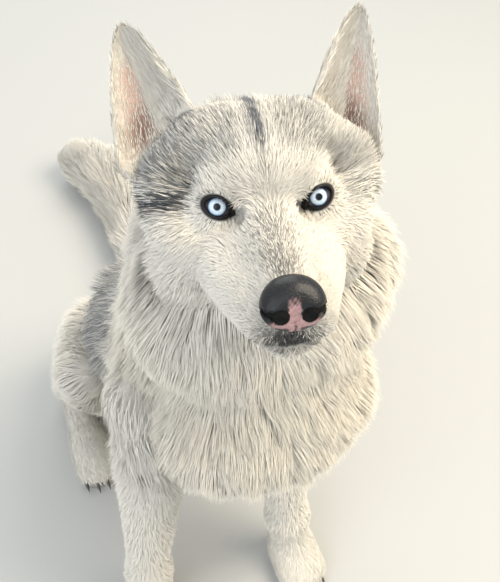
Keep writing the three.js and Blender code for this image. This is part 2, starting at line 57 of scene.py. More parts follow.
def addNode(tree, kind, settings=None, links=None, values=None):
    node = tree.nodes.new(kind)
    for key, value in (settings or {}).items():
        setattr(node, key, value)
    for key, value in (values or {}).items():
        node.inputs[key].default_value = value
    for key, source in (links or {}).items():
        tree.links.new(source, node.inputs[key])
    return node


def newMaterial(name):
    material = bpy.data.materials.new(name)
    material.use_nodes = True
    tree = material.node_tree
    return material, tree, tree.nodes["Principled BSDF"]


def deselectAll():
    if bpy.context.object and bpy.context.object.mode != "OBJECT":
        bpy.ops.object.mode_set(mode="OBJECT")
    bpy.ops.object.select_all(action="DESELECT")


def choose(obj):
    deselectAll()
    obj.select_set(True)
    bpy.context.view_layer.objects.active = obj


def joinInto(obj, others):
    choose(obj)
    for other in others:
        other.select_set(True)
    bpy.ops.object.join()
    return bpy.context.object


def applyModifier(obj, kind, **settings):
    choose(obj)
    modifier = obj.modifiers.new(kind.title(), kind)
    for key, value in settings.items():
        setattr(modifier, key, value)
    bpy.ops.object.modifier_apply(modifier=modifier.name)


def pointsOf(obj):
    points = np.empty(len(obj.data.vertices) * 3)
    obj.data.vertices.foreach_get("co", points)
    return points.reshape(-1, 3)


def setPoints(obj, points):
    obj.data.vertices.foreach_set("co", np.ascontiguousarray(points).ravel())
    obj.data.update()


def paint(mesh, name, colours):
    layer = mesh.color_attributes.new(name, "FLOAT_COLOR", "POINT")
    full = np.ones((len(colours), 4))
    full[:, :3] = colours
    layer.data.foreach_set("color", full.ravel())


def unit(vectors):
    return vectors / np.maximum(np.linalg.norm(vectors, axis=-1, keepdims=True), 1e-9)


def ramp(value, low, high):
    share = np.clip((value - low) / (high - low), 0, 1)
    return share * share * (3 - 2 * share)


def bump(value, middle, half):
    return np.exp(-(((value - middle) / half) ** 2))


# The dog's build, in mm, with the floor at z = 0. It faces -Y and its left side is +X.
body = {
    "eyeHeight": 687,
    "headPitch": 24,  # degrees
    "headTurn": 15,
    "headShift": 42,
    "eyeSpacing": 71,
    "eyeRadius": 11.5,
    "pawSpacing": 194,
    "stanceShift": -9,
    "hindPawSpacing": 236,
    "hindPawBack": 240,
    "toePitch": 14.5,
    "neckBlend": 28,  # how softly the head runs into the neck, and the other parts into each other
    "partBlend": 11,
}
turn = math.radians(body["headTurn"])
pitch = math.radians(body["headPitch"])
headLeft = np.array([math.cos(turn), -math.sin(turn), 0])
headBack = np.array(
    [math.sin(turn) * math.cos(pitch), math.cos(turn) * math.cos(pitch), -math.sin(pitch)]
)
headUp = np.cross(headLeft, headBack)
headAxes = np.array([headLeft, headBack, headUp])
headOrigin = np.array([body["headShift"], 0, body["eyeHeight"]])
eyeMiddle = np.array([body["eyeSpacing"] / 2, 4, -1])
sides = (1, -1)


def toHead(points):
    return (points - headOrigin) @ headAxes.T


def fromHead(points):
    return np.asarray(points) @ headAxes + headOrigin


# points of the head with its right side laid over its left
def mirrored(points):
    return np.stack([np.abs(points[:, 0]), points[:, 1], points[:, 2]], 1)


# distance of points of the head from the middle of the nearer eye
def fromEyes(points):
    return np.linalg.norm(mirrored(points) - eyeMiddle, axis=1)


# the frame says where the dog's layout lies: the middle of its left eye is known in both
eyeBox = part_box("eye_left")
shift = 500 * np.array(eyeBox[0] + eyeBox[1]) - fromHead(eyeMiddle)


def toFrame(points):
    return (np.asarray(points) + shift) / 1000


def toLayout(points):
    return np.asarray(points) * 1000 - shift


def ball(at, size, lean=0):
    return {"at": np.array(at, float), "size": np.array(size, float), "lean": lean}


def limb(start, end, startRadius, endRadius, wide=1):
    return {
        "start": np.array(start, float),
        "end": np.array(end, float),
        "radii": (startRadius, endRadius),
        "wide": wide,
    }


def massDistance(mass, points):
    if "at" in mass:
        lean = math.radians(-mass["lean"])
        local = points - mass["at"]
        y = math.cos(lean) * local[:, 1] - math.sin(lean) * local[:, 2]
        z = math.sin(lean) * local[:, 1] + math.cos(lean) * local[:, 2]
        scaled = np.stack([local[:, 0], y, z], 1) / mass["size"]
        length = np.linalg.norm(scaled, axis=1)
        slope = np.linalg.norm(scaled / mass["size"], axis=1)
        return length * (length - 1) / np.maximum(slope, 1e-9)
    along = mass["end"] - mass["start"]
    local = points - mass["start"]
    share = np.clip(local @ along / (along @ along), 0, 1)
    local = local - share[:, None] * along
    local[:, 0] /= mass["wide"]
    radius = mass["radii"][0] + share * (mass["radii"][1] - mass["radii"][0])
    return (np.linalg.norm(local, axis=1) - radius) * min(mass["wide"], 1)


def softMin(a, b, blend):
    return np.minimum(a, b) - np.maximum(blend - np.abs(a - b), 0) ** 2 / (4 * blend)


# The masses of each part, out to the tips of its coat.
def toeMasses(pawX, pawY):
    places = (-1.5, -0.5, 0.5, 1.5)
    return [
        ball((pawX + body["toePitch"] * p, pawY - 36 + 5 * abs(p) ** 1.5, 13.5), (10, 16, 15))
        for p in places
    ]


def forelegMasses(side):
    elbow = 6 + 74 * side
    paw = body["stanceShift"] + side * body["pawSpacing"] / 2
    wrist = elbow + 0.85 * (paw - elbow)
    return [
        limb((elbow - 8 * side, 56, 408), (elbow, 44, 300), 52, 42, 0.8),
        limb((elbow, 43, 300), (wrist, 18, 100), 39, 25),
        ball((wrist, 16, 92), (27, 28, 25)),
        limb((wrist, 14, 86), (paw, 2, 38), 24, 26),
        ball((paw, -8, 22), (32, 42, 28)),
    ] + toeMasses(paw, -8)


def hindlegMasses(side):
    hip, stifle, hock = 60 * side, 96 * side, 112 * side
    return [
        limb((hip, 318, 130), (stifle, 226, 228), 88, 46, 0.72),
        ball((hip + 4 * side, 330, 96), (54, 72, 84)),
        limb((stifle, 226, 222), (hock, 336, 76), 42, 28, 0.9),
    ]


def hindfootMasses(side):
    hock, paw = 112 * side, side * body["hindPawSpacing"] / 2
    return [
        ball((hock, 354, 38), (23, 27, 34)),
        limb((hock, 346, 34), (paw, 268, 28), 25, 24),
        ball((paw, body["hindPawBack"], 21), (31, 42, 27)),
    ] + toeMasses(paw, body["hindPawBack"])


headMasses = [
    ball((0, 58, 4), (60, 70, 56)),
    ball((0, 22, 14), (44, 40, 32)),
    limb((0, -6, -28), (0, -74, -38), 34, 24, 0.94),
    limb((0, -8, -10), (0, -82, -27), 17, 12),
    limb((0, 12, -65), (0, -75, -66.5), 33, 16.5),
    limb((0, 60, -8), (0, 96, -34), 60, 62),
]
for side in sides:
    headMasses += [
        ball((27 * side, 9, 15), (18, 13, 10)),
        ball((34 * side, 58, 30), (33, 34, 27)),
        ball((57 * side, 52, -4), (38, 40, 42)),
        ball((49 * side, 34, -26), (37, 38, 34)),
        ball((50 * side, 44, -56), (38, 38, 32)),
        limb((31 * side, 12, -37), (17 * side, -59, -43), 28, 16),
        limb((29 * side, -13, -52), (16 * side, -79, -51.5), 22, 15),
        ball((side * eyeMiddle[0], 7, -1), (13.6, 13.6, 13.6)),
    ]
# the inner corner of each eye lies in a hollow beside the bridge of the nose
eyeCorners = [ball((22 * side, -9, -4), (7.5, 9, 7.5)) for side in sides]
parts = {
    "head": {"blend": 13, "masses": headMasses, "hollows": eyeCorners},
    "trunk": {
        "blend": 30,
        "masses": [
            ball((0, 325, 100), (82, 84, 106)),
            limb((4, 300, 165), (12, 215, 285), 92, 98),
            limb((14, 205, 300), (34, 92, 415), 100, 112),
            ball((47, 1, 405), (116, 72, 101), -8),
            limb((54, 66, 480), (58, 76, 570), 116, 98),
            limb((50, 80, 570), (52, 96, 632), 94, 62),
            ball((59, 42, 540), (130, 90, 88), 20),
        ],
    },
    "tail": {
        "blend": 20,
        "masses": [
            limb((6, 380, 70), (46, 480, 46), 42, 44),
            limb((46, 480, 46), (76, 600, 46), 44, 48),
            limb((76, 600, 46), (74, 730, 52), 48, 58),
            limb((74, 730, 52), (34, 812, 46), 58, 46),
        ],
    },
}
for name, side in (("left", 1), ("right", -1)):
    parts["foreleg_" + name] = {"blend": 16, "masses": forelegMasses(side)}
    parts["hindleg_" + name] = {"blend": 22, "masses": hindlegMasses(side)}
    parts["hindfoot_" + name] = {"blend": 14, "masses": hindfootMasses(side)}

mouth = {
    "y": (-108, -64, -26, 16),  # from past the lips back to the corner of the mouth
    "z": (-65, -61, -58, -62),
    "depth": 3.4,
    "half": 1.2,
}


# height of the line of the mouth, in the head's own layout
def mouthHeight(y):
    return np.interp(y, mouth["y"], mouth["z"])


# how deep the skin lies under the tips of the coat
def coatDepth(name, points):
    if name == "head":
        x, y, z = toHead(points).T
        depth = 2.2 + 2.6 * ramp(y, -45, 18) + 9 * ramp(y, 45, 95)
        depth += 7.5 * ramp(np.abs(x), 30, 58) * ramp(y, 0, 42) * ramp(-z, -34, 0)
        depth *= 0.35 + 0.65 * ramp(fromEyes(toHead(points)), 13, 26)
        lips = (y < 18) * (1 - 0.35 * ramp(np.abs(x), 30, 40))
        depth += mouth["depth"] * lips * bump(z, mouthHeight(y), mouth["half"])
        return depth + 2.2 * (y < -88) * bump(x, 0, 1) * ramp(z, -60, -56) * ramp(-z, 40, 42)
    height = points[:, 2]
    if name == "trunk":
        return np.full(len(points), 24.0)
    if name == "tail":
        return 12 + 10 * ramp(points[:, 1], 400, 520) - 8 * ramp(points[:, 1], 800, 850)
    if name.startswith("foreleg"):
        return 2.5 + 3 * ramp(height, 40, 160) + 11 * ramp(height, 250, 370)
    if name.startswith("hindleg"):
        return 7 + 11 * ramp(height, 60, 170)
    return np.full(len(points), 3.0)


def partDistance(name, points):
    local = toHead(points) if name == "head" else points
    part = parts[name]
    distance = None
    for mass in part["masses"]:
        own = massDistance(mass, local)
        distance = own if distance is None else softMin(distance, own, part["blend"])
    for hollow in part.get("hollows", ()):
        distance = -softMin(-distance, massDistance(hollow, local), 5)
    return distance + coatDepth(name, points)


def skinDistance(points, names=tuple(parts)):
    distance = None
    for name in names:
        own = partDistance(name, points)
        blend = body["neckBlend"] if name == "trunk" and "head" in names else body["partBlend"]
        distance = own if distance is None else softMin(distance, own, blend)
    return distance


# a part with what it runs into, which is all that its hair has to follow
def withNeighbours(name):
    neighbours = {"head": ("head", "trunk"), "trunk": ("head", "trunk"), "tail": ("trunk", "tail")}
    side = name.rsplit("_", 1)[-1]
    hind = ("trunk", "hindleg_" + side, "hindfoot_" + side)
    return neighbours.get(name) or (("trunk", name) if name.startswith("foreleg") else hind)


def withSlope(field, points, reach=0.4):
    here = field(points)
    slope = np.empty_like(points)
    for axis in range(3):
        ahead = points.copy()
        ahead[:, axis] += reach
        slope[:, axis] = (field(ahead) - here) / reach
    return here, slope


# moves points along the slope of a field until they lie on its surface
def settle(field, points, rounds, limit=5):
    for _ in range(rounds):
        distance, slope = withSlope(field, points)
        steep = np.maximum(np.linalg.norm(slope, axis=1), 0.3)
        step = np.clip(distance / steep, -limit, limit)
        points = points - slope / steep[:, None] * step[:, None]
    return points


# The ears are cupped shells, each a grid from the foot up to the point and across both faces.
# The foot and the tip of the right one stand further out.
ear = {
    "tip": np.array((85.0, 74, 113)),
    "inner": np.array((39.0, 52, 52)),
    "outer": np.array((95.0, 46, 6)),
    "spread": np.array((10.0, 0, 10)),
    "tipSpread": np.array((5.0, 0, 0)),
    "power": 0.58,
    "cup": 26,
    "thick": 4.6,
    "foot": -0.2,
    "tall": 30,
    "broad": 22,
}


# convex edges that meet in a round point, over a foot that narrows into the skull
def earWidth(share):
    return 1 + 1.6 * share if share < 0 else (1 - share) ** ear["power"]


# the middle of an ear's foot, half of its breadth there, and its point
def earFrame(side):
    outer = ear["outer"] + ear["spread"] * (side < 0)
    tip = ear["tip"] + ear["tipSpread"] * (side < 0)
    return (ear["inner"] + outer) / 2, (outer - ear["inner"]) / 2, tip


# how far up an ear a point is, and how far across it, from -1 at the inner edge to 1 at the outer
def earPlace(points):
    x, _, z = toHead(points).T
    places = []
    for side in sides:
        base, half, tip = earFrame(side)
        basis = np.stack([(tip - base)[[0, 2]], half[[0, 2]]], 1)
        flat = np.stack([side * x - base[0], z - base[2]], 1)
        places.append((flat @ np.linalg.inv(basis).T).T)
    share, across = np.where(x > 0, *places)
    return share, across / np.maximum(1 - share, 0.02) ** ear["power"]


def earPoints(side):
    base, half, tip = earFrame(side)
    backward = unit(np.array((-0.15, 1, -0.15)))
    rows = []
    for step in range(ear["tall"] + 1):
        share = ear["foot"] + (0.985 - ear["foot"]) * math.sin(math.pi / 2 * step / ear["tall"])
        width = earWidth(share)
        across = np.linspace(-1, 1, ear["broad"] + 1)
        across = np.concatenate([across, across[::-1]])
        face = np.repeat((-1, 1), ear["broad"] + 1)
        hollow = 1 - across**2
        depth = ear["cup"] * hollow * width
        wall = ear["thick"] / 2 * (0.4 + 0.6 * hollow) * min(0.35 + width, 1)
        row = base + share * (tip - base) + np.outer(across * width * 0.95, half)
        rows.append(row + np.outer(depth + face * wall, backward))
    points = np.concatenate(rows)
    return fromHead(points * (side, 1, 1))


def makeEar(side):
    around = 2 * (ear["broad"] + 1)
    points = earPoints(side)
    faces = []
    for row in range(ear["tall"]):
        for i in range(around):
            a, b = row * around + i, row * around + (i + 1) % around
            faces.append((a, b, b + around, a + around))
    foot = list(range(around))
    top = [ear["tall"] * around + i for i in range(around)]
    faces += [foot[::-1], top]
    if side > 0:
        faces = [tuple(reversed(f)) for f in faces]
    mesh = bpy.data.meshes.new("ear")
    mesh.from_pydata(toFrame(points).tolist(), [], faces)
    obj = bpy.data.objects.new("ear", mesh)
    bpy.context.collection.objects.link(obj)
    choose(obj)
    bpy.ops.object.mode_set(mode="EDIT")
    bpy.ops.mesh.select_all(action="SELECT")
    bpy.ops.mesh.normals_make_consistent(inside=False)
    bpy.ops.object.mode_set(mode="OBJECT")
    return obj


# The skin starts as a blockout of balls, one for each mass and a chain of them along each limb.
skin = {
    "voxel": 4.0,
    "smooth": 4,
    "chain": 1.6,  # balls along a limb for each of its radii
    "thinnest": 3,
    "faceTo": 26,  # how far back the finer mesh of the face goes
}


def addBall(place, size, lean=0):
    bpy.ops.mesh.primitive_ico_sphere_add(subdivisions=3, radius=1, location=(0, 0, 0))
    obj = bpy.context.object
    tilt = Matrix.Rotation(math.radians(lean), 4, "X") @ Matrix.Diagonal((*size, 1))
    obj.data.transform(tilt)
    points = pointsOf(obj) + place["at"]
    setPoints(obj, toFrame(fromHead(points) if place["head"] else points))
    return obj


def blockOut():
    balls = []
    for name, part in parts.items():
        isHead = name == "head"
        for mass in part["masses"]:
            if "at" in mass:
                spots = [(mass["at"], mass["size"])]
            else:
                along = mass["end"] - mass["start"]
                count = 2 + int(np.linalg.norm(along) / min(mass["radii"]) * skin["chain"])
                spots = []
                for share in np.linspace(0, 1, count):
                    at = mass["start"] + share * along
                    radius = mass["radii"][0] + share * (mass["radii"][1] - mass["radii"][0])
                    spots.append((at, radius * np.array((mass["wide"], 1, 1))))
            for at, size in spots:
                place = fromHead(at[None]) if isHead else at[None]
                depth = float(coatDepth(name, place)[0])
                size = np.maximum(size - depth, skin["thinnest"])
                balls.append(addBall({"at": at, "head": isHead}, size, mass.get("lean", 0)))
    blockout = joinInto(balls[0], balls[1:])
    applyModifier(blockout, "REMESH", mode="VOXEL", voxel_size=skin["voxel"] / 1000)
    applyModifier(blockout, "SMOOTH", factor=0.5, iterations=skin["smooth"])
    return blockout


def selectFaces(obj, test):
    mesh = obj.data
    centres = np.empty(len(mesh.polygons) * 3)
    mesh.polygons.foreach_get("center", centres)
    chosen = test(toLayout(centres.reshape(-1, 3)))
    choose(obj)
    bpy.ops.object.mode_set(mode="EDIT")
    bpy.ops.mesh.select_all(action="DESELECT")
    bpy.ops.object.mode_set(mode="OBJECT")
    mesh.polygons.foreach_set("select", chosen)
    bpy.ops.object.mode_set(mode="EDIT")


def faceArea(points):
    x, y, z = toHead(points).T
    return (y < skin["faceTo"]) & (np.abs(x) < 56) & (z < 40) & (z > -95)


def eyeAndLipArea(points):
    head = toHead(points)
    y, z = head[:, 1], head[:, 2]
    lips = (y < 20) & (np.abs(z - mouthHeight(y)) < 6)
    return (fromEyes(head) < 21) | lips | ((y < -78) & (z > -62))


def pawArea(points):
    return (points[:, 2] < 46) & (points[:, 1] < 300) & (np.abs(points[:, 0]) > 40)


skinObject = blockOut()
setPoints(skinObject, toFrame(settle(skinDistance, toLayout(pointsOf(skinObject)), 5)))
print("skin blocked out:", len(skinObject.data.polygons), "faces")
for area in (faceArea, pawArea, eyeAndLipArea):
    selectFaces(skinObject, area)
    bpy.ops.mesh.subdivide(number_cuts=1)
    bpy.ops.object.mode_set(mode="OBJECT")

# The opening of each eye, in a frame of its own: x along the lids, y up, z out along the look.
lids = {
    "look": unit(np.array((0.1, -1, 0.28))),
    "wide": 10.1,
    "upper": 8.3,
    "lower": 7.2,
    "slant": 27,  # degrees that the outer corner is higher
    "lift": 12.6,  # distance of the lid edge from the middle of the eye
    "rim": 1.0,
}
slant = math.radians(lids["slant"])
lidLevel = unit(np.array((1, 0, 0)) - lids["look"][0] * lids["look"])
lidAcross = math.cos(slant) * lidLevel + math.sin(slant) * np.cross(lids["look"], lidLevel)
lidAxes = np.array([lidAcross, np.cross(lids["look"], lidAcross), lids["look"]])


# how far inside the opening a point is, where 0 is on its edge
def inOpening(local):
    a, b = local[:, 0] / lids["wide"], local[:, 1]
    arch = np.sqrt(np.clip(1 - a * a, 0, 1))
    room = np.where(b > 0, lids["upper"] * arch - b, lids["lower"] * arch + b)
    return np.where((np.abs(a) < 1) & (local[:, 2] > 0), room, -1)


# inside the opening the skin dips under the globe
def openEyes(points):
    local = toHead(points)
    for side in sides:
        own = (local * (side, 1, 1) - eyeMiddle) @ lidAxes.T
        away = np.linalg.norm(own, axis=1)
        inside = (inOpening(own) > 0) & (away < 20)
        own[inside] *= (9.6 / away[inside])[:, None]
        local[inside] = (own[inside] @ lidAxes + eyeMiddle) * (side, 1, 1)
    return fromHead(local)


settled = settle(skinDistance, toLayout(pointsOf(skinObject)), 4)
settled = openEyes(settled)
settled[:, 2] = np.maximum(settled[:, 2], 0.8)
setPoints(skinObject, toFrame(settled))
skinObject = joinInto(skinObject, [makeEar(side) for side in sides])
skinObject.name = skinObject.data.name = "skin"
choose(skinObject)
bpy.ops.object.shade_smooth()
while skinObject.data.uv_layers:
    skinObject.data.uv_layers.remove(skinObject.data.uv_layers[0])
skinObject.data.uv_layers.new(name="OFBake")
bpy.ops.object.mode_set(mode="EDIT")
bpy.ops.mesh.select_all(action="SELECT")
bpy.ops.uv.smart_project(angle_limit=math.radians(66), island_margin=0.002)
bpy.ops.object.mode_set(mode="OBJECT")
print("skin finished:", len(skinObject.data.polygons), "faces")

# The coat's colours and where the dark hair grows.
coatColours = {
    "white": colourOf("f2ecdd"),
    "cream": colourOf("ece0c4"),
    "silver": colourOf("c9cac6"),
    "smoke": colourOf("62676c"),
    "black": colourOf("24262a"),
    "pink": colourOf("d6b5a6"),
    "paintedCupShadow": colourOf("6e5553"),
}


def partNames(points):
    names = list(parts)
    distances = np.stack([partDistance(name, points) for name in names])
    return np.array(names)[distances.argmin(0)]


# how much of the hair is dark in each marking, for the dog's left and right where they differ; the
# band and the temple are stronger on the right partly as painted shade over that side of the face
strengths = {
    "cap": 0.5,
    "streak": 0.5,
    "pale": -0.26,
    "bridge": 0.8,
    "band": (0.45, 0.95),
    "temple": (0.24, 0.62),
    "tear": 0.8,
    "lip": 1.2,
    "nape": 0.5,
    "saddle": 0.66,
    "shoulder": 0.4,
    "thigh": 0.34,
    "tail": (0.12, 0.38),  # at the sides and along the top
    "ear": (0.04, 0.2),  # at the tip and at the foot
}
saddleLine = {
    "z": (180, 300, 420, 560, 640),
    "y": (200, 148, 110, 96, 84),  # where the saddle begins at those heights
}


# for each point: the light hair's colour, the dark hair's colour and the share of dark hair
def markings(points, onEar):
    head = toHead(points)
    x, y, z = head.T
    py, pz = points[:, 1], points[:, 2]
    n = len(points)
    light = np.tile(coatColours["white"], (n, 1))
    dark = np.tile(coatColours["smoke"], (n, 1))
    share = np.zeros(n)
    names = partNames(points)
    isHead = (names == "head") & ~onEar
    ax = np.abs(x)

    # face: a grizzled cap parted by a dark streak, dark bands back from the eyes, pale spots over
    # them, and flecks down the bridge of the nose and on the upper lip
    cap = ramp(z + 0.25 * y, 14, 34) * ramp(y, -14, 10) * (1 - 0.55 * ramp(x, 34, 54))
    streak = bump(x, -2.5, 3.4) * ramp(z, 14, 30) * ramp(y, -34, -8)
    pale = bump(np.abs(x + 2.5), 9, 3.6) * ramp(z, 10, 30)
    bandLine = 2 - 0.25 * (ax - 48)
    behind = ramp(-y, -84, -54)
    # the band and the temple on the dog's right: a real marking with painted shade laid over it
    right = (x < 0).astype(int)
    band = bump(z, bandLine, 8.5) * ramp(ax, 46, 57) * ramp(y, -2, 12)
    band = np.array(strengths["band"])[right] * band
    temple = ramp(z - bandLine, -7, 4) * ramp(ax, 34, 56) * ramp(y, -4, 16)
    temple = np.array(strengths["temple"])[right] * temple
    bridge = bump(x, -4, 16) * ramp(-y, 8, 40) * ramp(z + 0.18 * y, -40, -26)
    bridge = bridge * (0.7 + 0.5 * ramp(-y, 70, 86))
    faceShare = strengths["cap"] * cap + strengths["streak"] * streak
    faceShare += strengths["pale"] * pale + strengths["bridge"] * bridge
    faceShare = np.maximum(faceShare, temple * behind)
    faceShare = np.maximum(faceShare, band * behind)
    brow = bump(ax, 41, 10) * bump(z, 13, 6.5) * ramp(-y, -18, -2)
    faceShare *= 1 - 0.9 * brow
    faceShare *= ramp(fromEyes(head), 13, 20) * 0.9 + 0.1
    corner = np.linalg.norm(mirrored(head) - (24, -7, -6), axis=1)
    tear = strengths["tear"] * bump(corner, 0, 4.6)
    faceShare = np.maximum(faceShare, tear)
    lip = bump(z, -57, 12) * ramp(-y, 64, 84) * bump(x, -2, 21)
    faceShare += strengths["lip"] * lip
    nape = ramp(y, 92, 130) * ramp(z, -40, 10)
    faceShare = np.clip(faceShare + strengths["nape"] * nape, 0, 1)
    share = np.where(isHead, faceShare, share)
    dark[isHead & ((lip > 0.12) | (tear > 0.08))] = coatColours["black"]
    dark[isHead & (bridge > 0.2)] = colourOf("45474b")
    # the darkest band hair, mostly on the dog's right, is partly painted shade
    dark[isHead & (band * behind > 0.4)] = colourOf("33383c")
    capTone = np.clip(0.7 * cap + temple, 0, 1)[:, None] * isHead[:, None]
    light = light * (1 - 0.5 * capTone) + coatColours["silver"] * 0.5 * capTone

    # trunk: a grey saddle over the back, shoulders and flanks, with cream on the chest
    front = np.interp(pz, saddleLine["z"], saddleLine["y"])
    saddle = ramp(py, front - 12, front + 46) * ramp(pz, 130, 210)
    isTrunk = names == "trunk"
    share = np.where(isTrunk, strengths["saddle"] * saddle, share)
    chest = (1 - saddle) * isTrunk * bump(pz, 470, 110)
    light = light * (1 - 0.4 * chest[:, None]) + coatColours["cream"] * 0.4 * chest[:, None]
    light[isTrunk] *= (1 - 0.2 * saddle[isTrunk])[:, None]

    # shoulders, thighs and tail
    foreleg = np.char.startswith(names, "foreleg")
    shoulder = strengths["shoulder"] * ramp(pz, 330, 400) * ramp(py, 60, 110)
    share = np.where(foreleg, shoulder, share)
    thigh = strengths["thigh"] * ramp(pz, 130, 230) * ramp(py, 200, 290)
    share = np.where(np.char.startswith(names, "hindleg"), thigh, share)
    low, high = strengths["tail"]
    share = np.where(names == "tail", low + (high - low) * ramp(pz, 40, 90), share)

    # ears: white; their pink cup, with a painted plum shadow low in it, is put on the skin further on
    low, high = strengths["ear"]
    share = np.where(onEar, low + (high - low) * ramp(-z, -60, -20), share)
    light[onEar] = coatColours["white"]
    dark[onEar] = coatColours["smoke"]
    return light, dark, share


# the bare cup of an ear, on its front face
def inCup(points, normals):
    share, across = earPlace(points)
    toFront = -(normals @ headAxes.T)[:, 1]
    cup = bump(across, 0.28, 0.42) * ramp(share, -0.1, 0.06) * ramp(-share, -0.86, -0.6)
    return cup * ramp(toFront, 0.1, 0.4)


def isEarPoint(points):
    _, y, z = toHead(points).T
    outside = partDistance("head", points)
    return (z > 0) & (y > 20) & (outside > 3.2) | (z > 62)


def cornerNormals(obj):
    normals = np.empty(len(obj.data.vertices) * 3)
    obj.data.vertex_normals.foreach_get("vector", normals)
    return normals.reshape(-1, 3)


draw = np.random.default_rng(7)
skinPoints = toLayout(pointsOf(skinObject))
skinNormals = cornerNormals(skinObject)
onEar = isEarPoint(skinPoints)
light, dark, share = markings(skinPoints, onEar)
skinColour = light * (1 - 0.75 * share[:, None]) + dark * 0.75 * share[:, None]
cup = inCup(skinPoints, skinNormals)[:, None] * onEar[:, None]
earShare = earPlace(skinPoints)[0][:, None]
# painted shadow: plum, low in the cup of each ear
paintedCupShadow = cup * ramp(-earShare, -0.42, -0.16)
skinColour = skinColour * (1 - cup) + coatColours["pink"] * cup
skinColour = skinColour * (1 - 0.8 * paintedCupShadow) + coatColours["paintedCupShadow"] * 0.8 * paintedCupShadow
head = toHead(skinPoints)
isMouth = bump(head[:, 2], mouthHeight(head[:, 1]), 1.5) * ramp(-head[:, 1], 0, 40)
isMouth *= (np.abs(head[:, 0]) < 42) & (head[:, 1] > -112)
isMouth = 0.9 * isMouth[:, None]
skinColour = skinColour * (1 - isMouth) + coatColours["black"] * isMouth


# closeness to the opening of either eye, 1 on the lids
def nearLids(points, reach=3.5):
    local = toHead(points)
    near = np.zeros(len(points))
    for side in sides:
        own = (local * (side, 1, 1) - eyeMiddle) @ lidAxes.T
        tall = np.where(own[:, 1] > 0, lids["upper"], lids["lower"]).mean()
        stretched = own[:, :2] / (lids["wide"], tall)
        gap = (np.linalg.norm(stretched, axis=1) - 1) * lids["upper"]
        close = 1 - ramp(gap, 0.3 * reach, reach)
        near = np.maximum(near, close * (own[:, 2] > 2) * (np.linalg.norm(own, axis=1) < 22))
    return near


lidShade = nearLids(skinPoints)[:, None]
skinColour = skinColour * (1 - lidShade) + coatColours["black"] * lidShade
paint(skinObject.data, "Markings", skinColour)
print("skin marked")

# short dense underfur: soft and matt, its hairs too fine to see, so drawn at about 1 mm
skinMaterial, tree, shader = newMaterial("underfur")
marks = addNode(tree, "ShaderNodeVertexColor", {"layer_name": "Markings"})
place = addNode(tree, "ShaderNodeTexCoord")
hairGrain = addNode(
    tree,
    "ShaderNodeTexNoise",
    links={"Vector": place.outputs["Object"]},
    values={"Scale": 900, "Detail": 4, "Roughness": 0.7},
)
toned = addNode(
    tree,
    "ShaderNodeMapRange",
    links={"Value": hairGrain.outputs["Fac"]},
    values={"From Min": 0.3, "From Max": 0.7, "To Min": 0.72, "To Max": 1.05},
)
shaded = addNode(
    tree,
    "ShaderNodeVectorMath",
    {"operation": "MULTIPLY"},
    links={0: marks.outputs["Color"], 1: toned.outputs["Result"]},
)
relief = addNode(
    tree,
    "ShaderNodeBump",
    links={"Height": hairGrain.outputs["Fac"]},
    values={"Strength": 0.6, "Distance": 0.0012},
)
tree.links.new(shaded.outputs["Vector"], shader.inputs["Base Color"])
tree.links.new(relief.outputs["Normal"], shader.inputs["Normal"])
shader.inputs["Roughness"].default_value = 0.85
shader.inputs["Specular IOR Level"].default_value = 0.2
skinObject.data.materials.clear()
skinObject.data.materials.append(skinMaterial)

# The coat. Each kind of hair: its length and width, the height of its tips as a share of the
# coat's depth, its mean spacing, how much its direction strays, and how it gathers in clumps.
# Lengths in mm.
coat = {
    "muzzle": {"length": 4.8, "width": 0.55, "rise": 1.0, "spacing": 0.9, "stray": 0.2, "clump": 0},
    "face": {"length": 9, "width": 0.55, "rise": 1.0, "spacing": 1.07, "stray": 0.13, "clump": 0.2},
    "cheek": {"length": 20, "width": 0.7, "rise": 1.0, "spacing": 1.12, "stray": 0.1, "clump": 0.3},
    "nape": {"length": 30, "width": 0.8, "rise": 1.05, "spacing": 1.7, "stray": 0.12, "clump": 0.4},
    "ruff": {"length": 38, "width": 0.95, "rise": 1.0, "spacing": 1.56, "stray": 0.1, "clump": 0.4},
    "back": {"length": 36, "width": 0.95, "rise": 1.0, "spacing": 2.7, "stray": 0.12, "clump": 0.4},
    "leg": {"length": 13, "width": 0.8, "rise": 1.0, "spacing": 2.45, "stray": 0.12, "clump": 0.25},
    "thigh": {"length": 30, "width": 0.9, "rise": 1.0, "spacing": 2.4, "stray": 0.12, "clump": 0.4},
    "foot": {"length": 7.5, "width": 0.7, "rise": 1.1, "spacing": 2.3, "stray": 0.14, "clump": 0.1},
    "tail": {"length": 46, "width": 0.95, "rise": 1.1, "spacing": 2.35, "stray": 0.13, "clump": 0.45},
    "ear": {"length": 7, "width": 0.6, "rise": 0.22, "spacing": 1.3, "stray": 0.14, "clump": 0.1},
    "fringe": {"length": 19, "width": 0.6, "rise": 0.7, "spacing": 1.15, "stray": 0.14, "clump": 0.3},
}
kinds = list(coat)
longKinds = ("nape", "ruff", "back", "thigh", "tail", "cheek")


def kindOf(points, names, onEar, front):
    x, y, z = toHead(points).T
    kind = np.full(len(points), "back", dtype="<U8")
    isHead = names == "head"
    kind[isHead] = "face"
    kind[isHead & (y < -34)] = "muzzle"
    kind[isHead & (y > 14) & (np.abs(x) > 40) & (z < 8)] = "cheek"
    kind[isHead & (z < -72) & (y > -30)] = "cheek"
    kind[isHead & (y > 84)] = "nape"
    trunk = names == "trunk"
    kind[trunk & (points[:, 2] > 330) & (points[:, 1] < 130)] = "ruff"
    kind[trunk & (points[:, 2] > 470)] = "ruff"
    for name in parts:
        if name.startswith("foreleg"):
            kind[names == name] = "leg"
            kind[(names == name) & (points[:, 2] < 50)] = "foot"
            kind[(names == name) & (points[:, 2] > 330)] = "thigh"
        if name.startswith("hindleg"):
            kind[names == name] = "thigh"
        if name.startswith("hindfoot"):
            kind[names == name] = "foot"
    kind[names == "tail"] = "tail"
    share, across = earPlace(points)
    kind[onEar] = "ear"
    kind[onEar & front & (across < 0.02) & (share < 0.8)] = "fringe"
    return kind


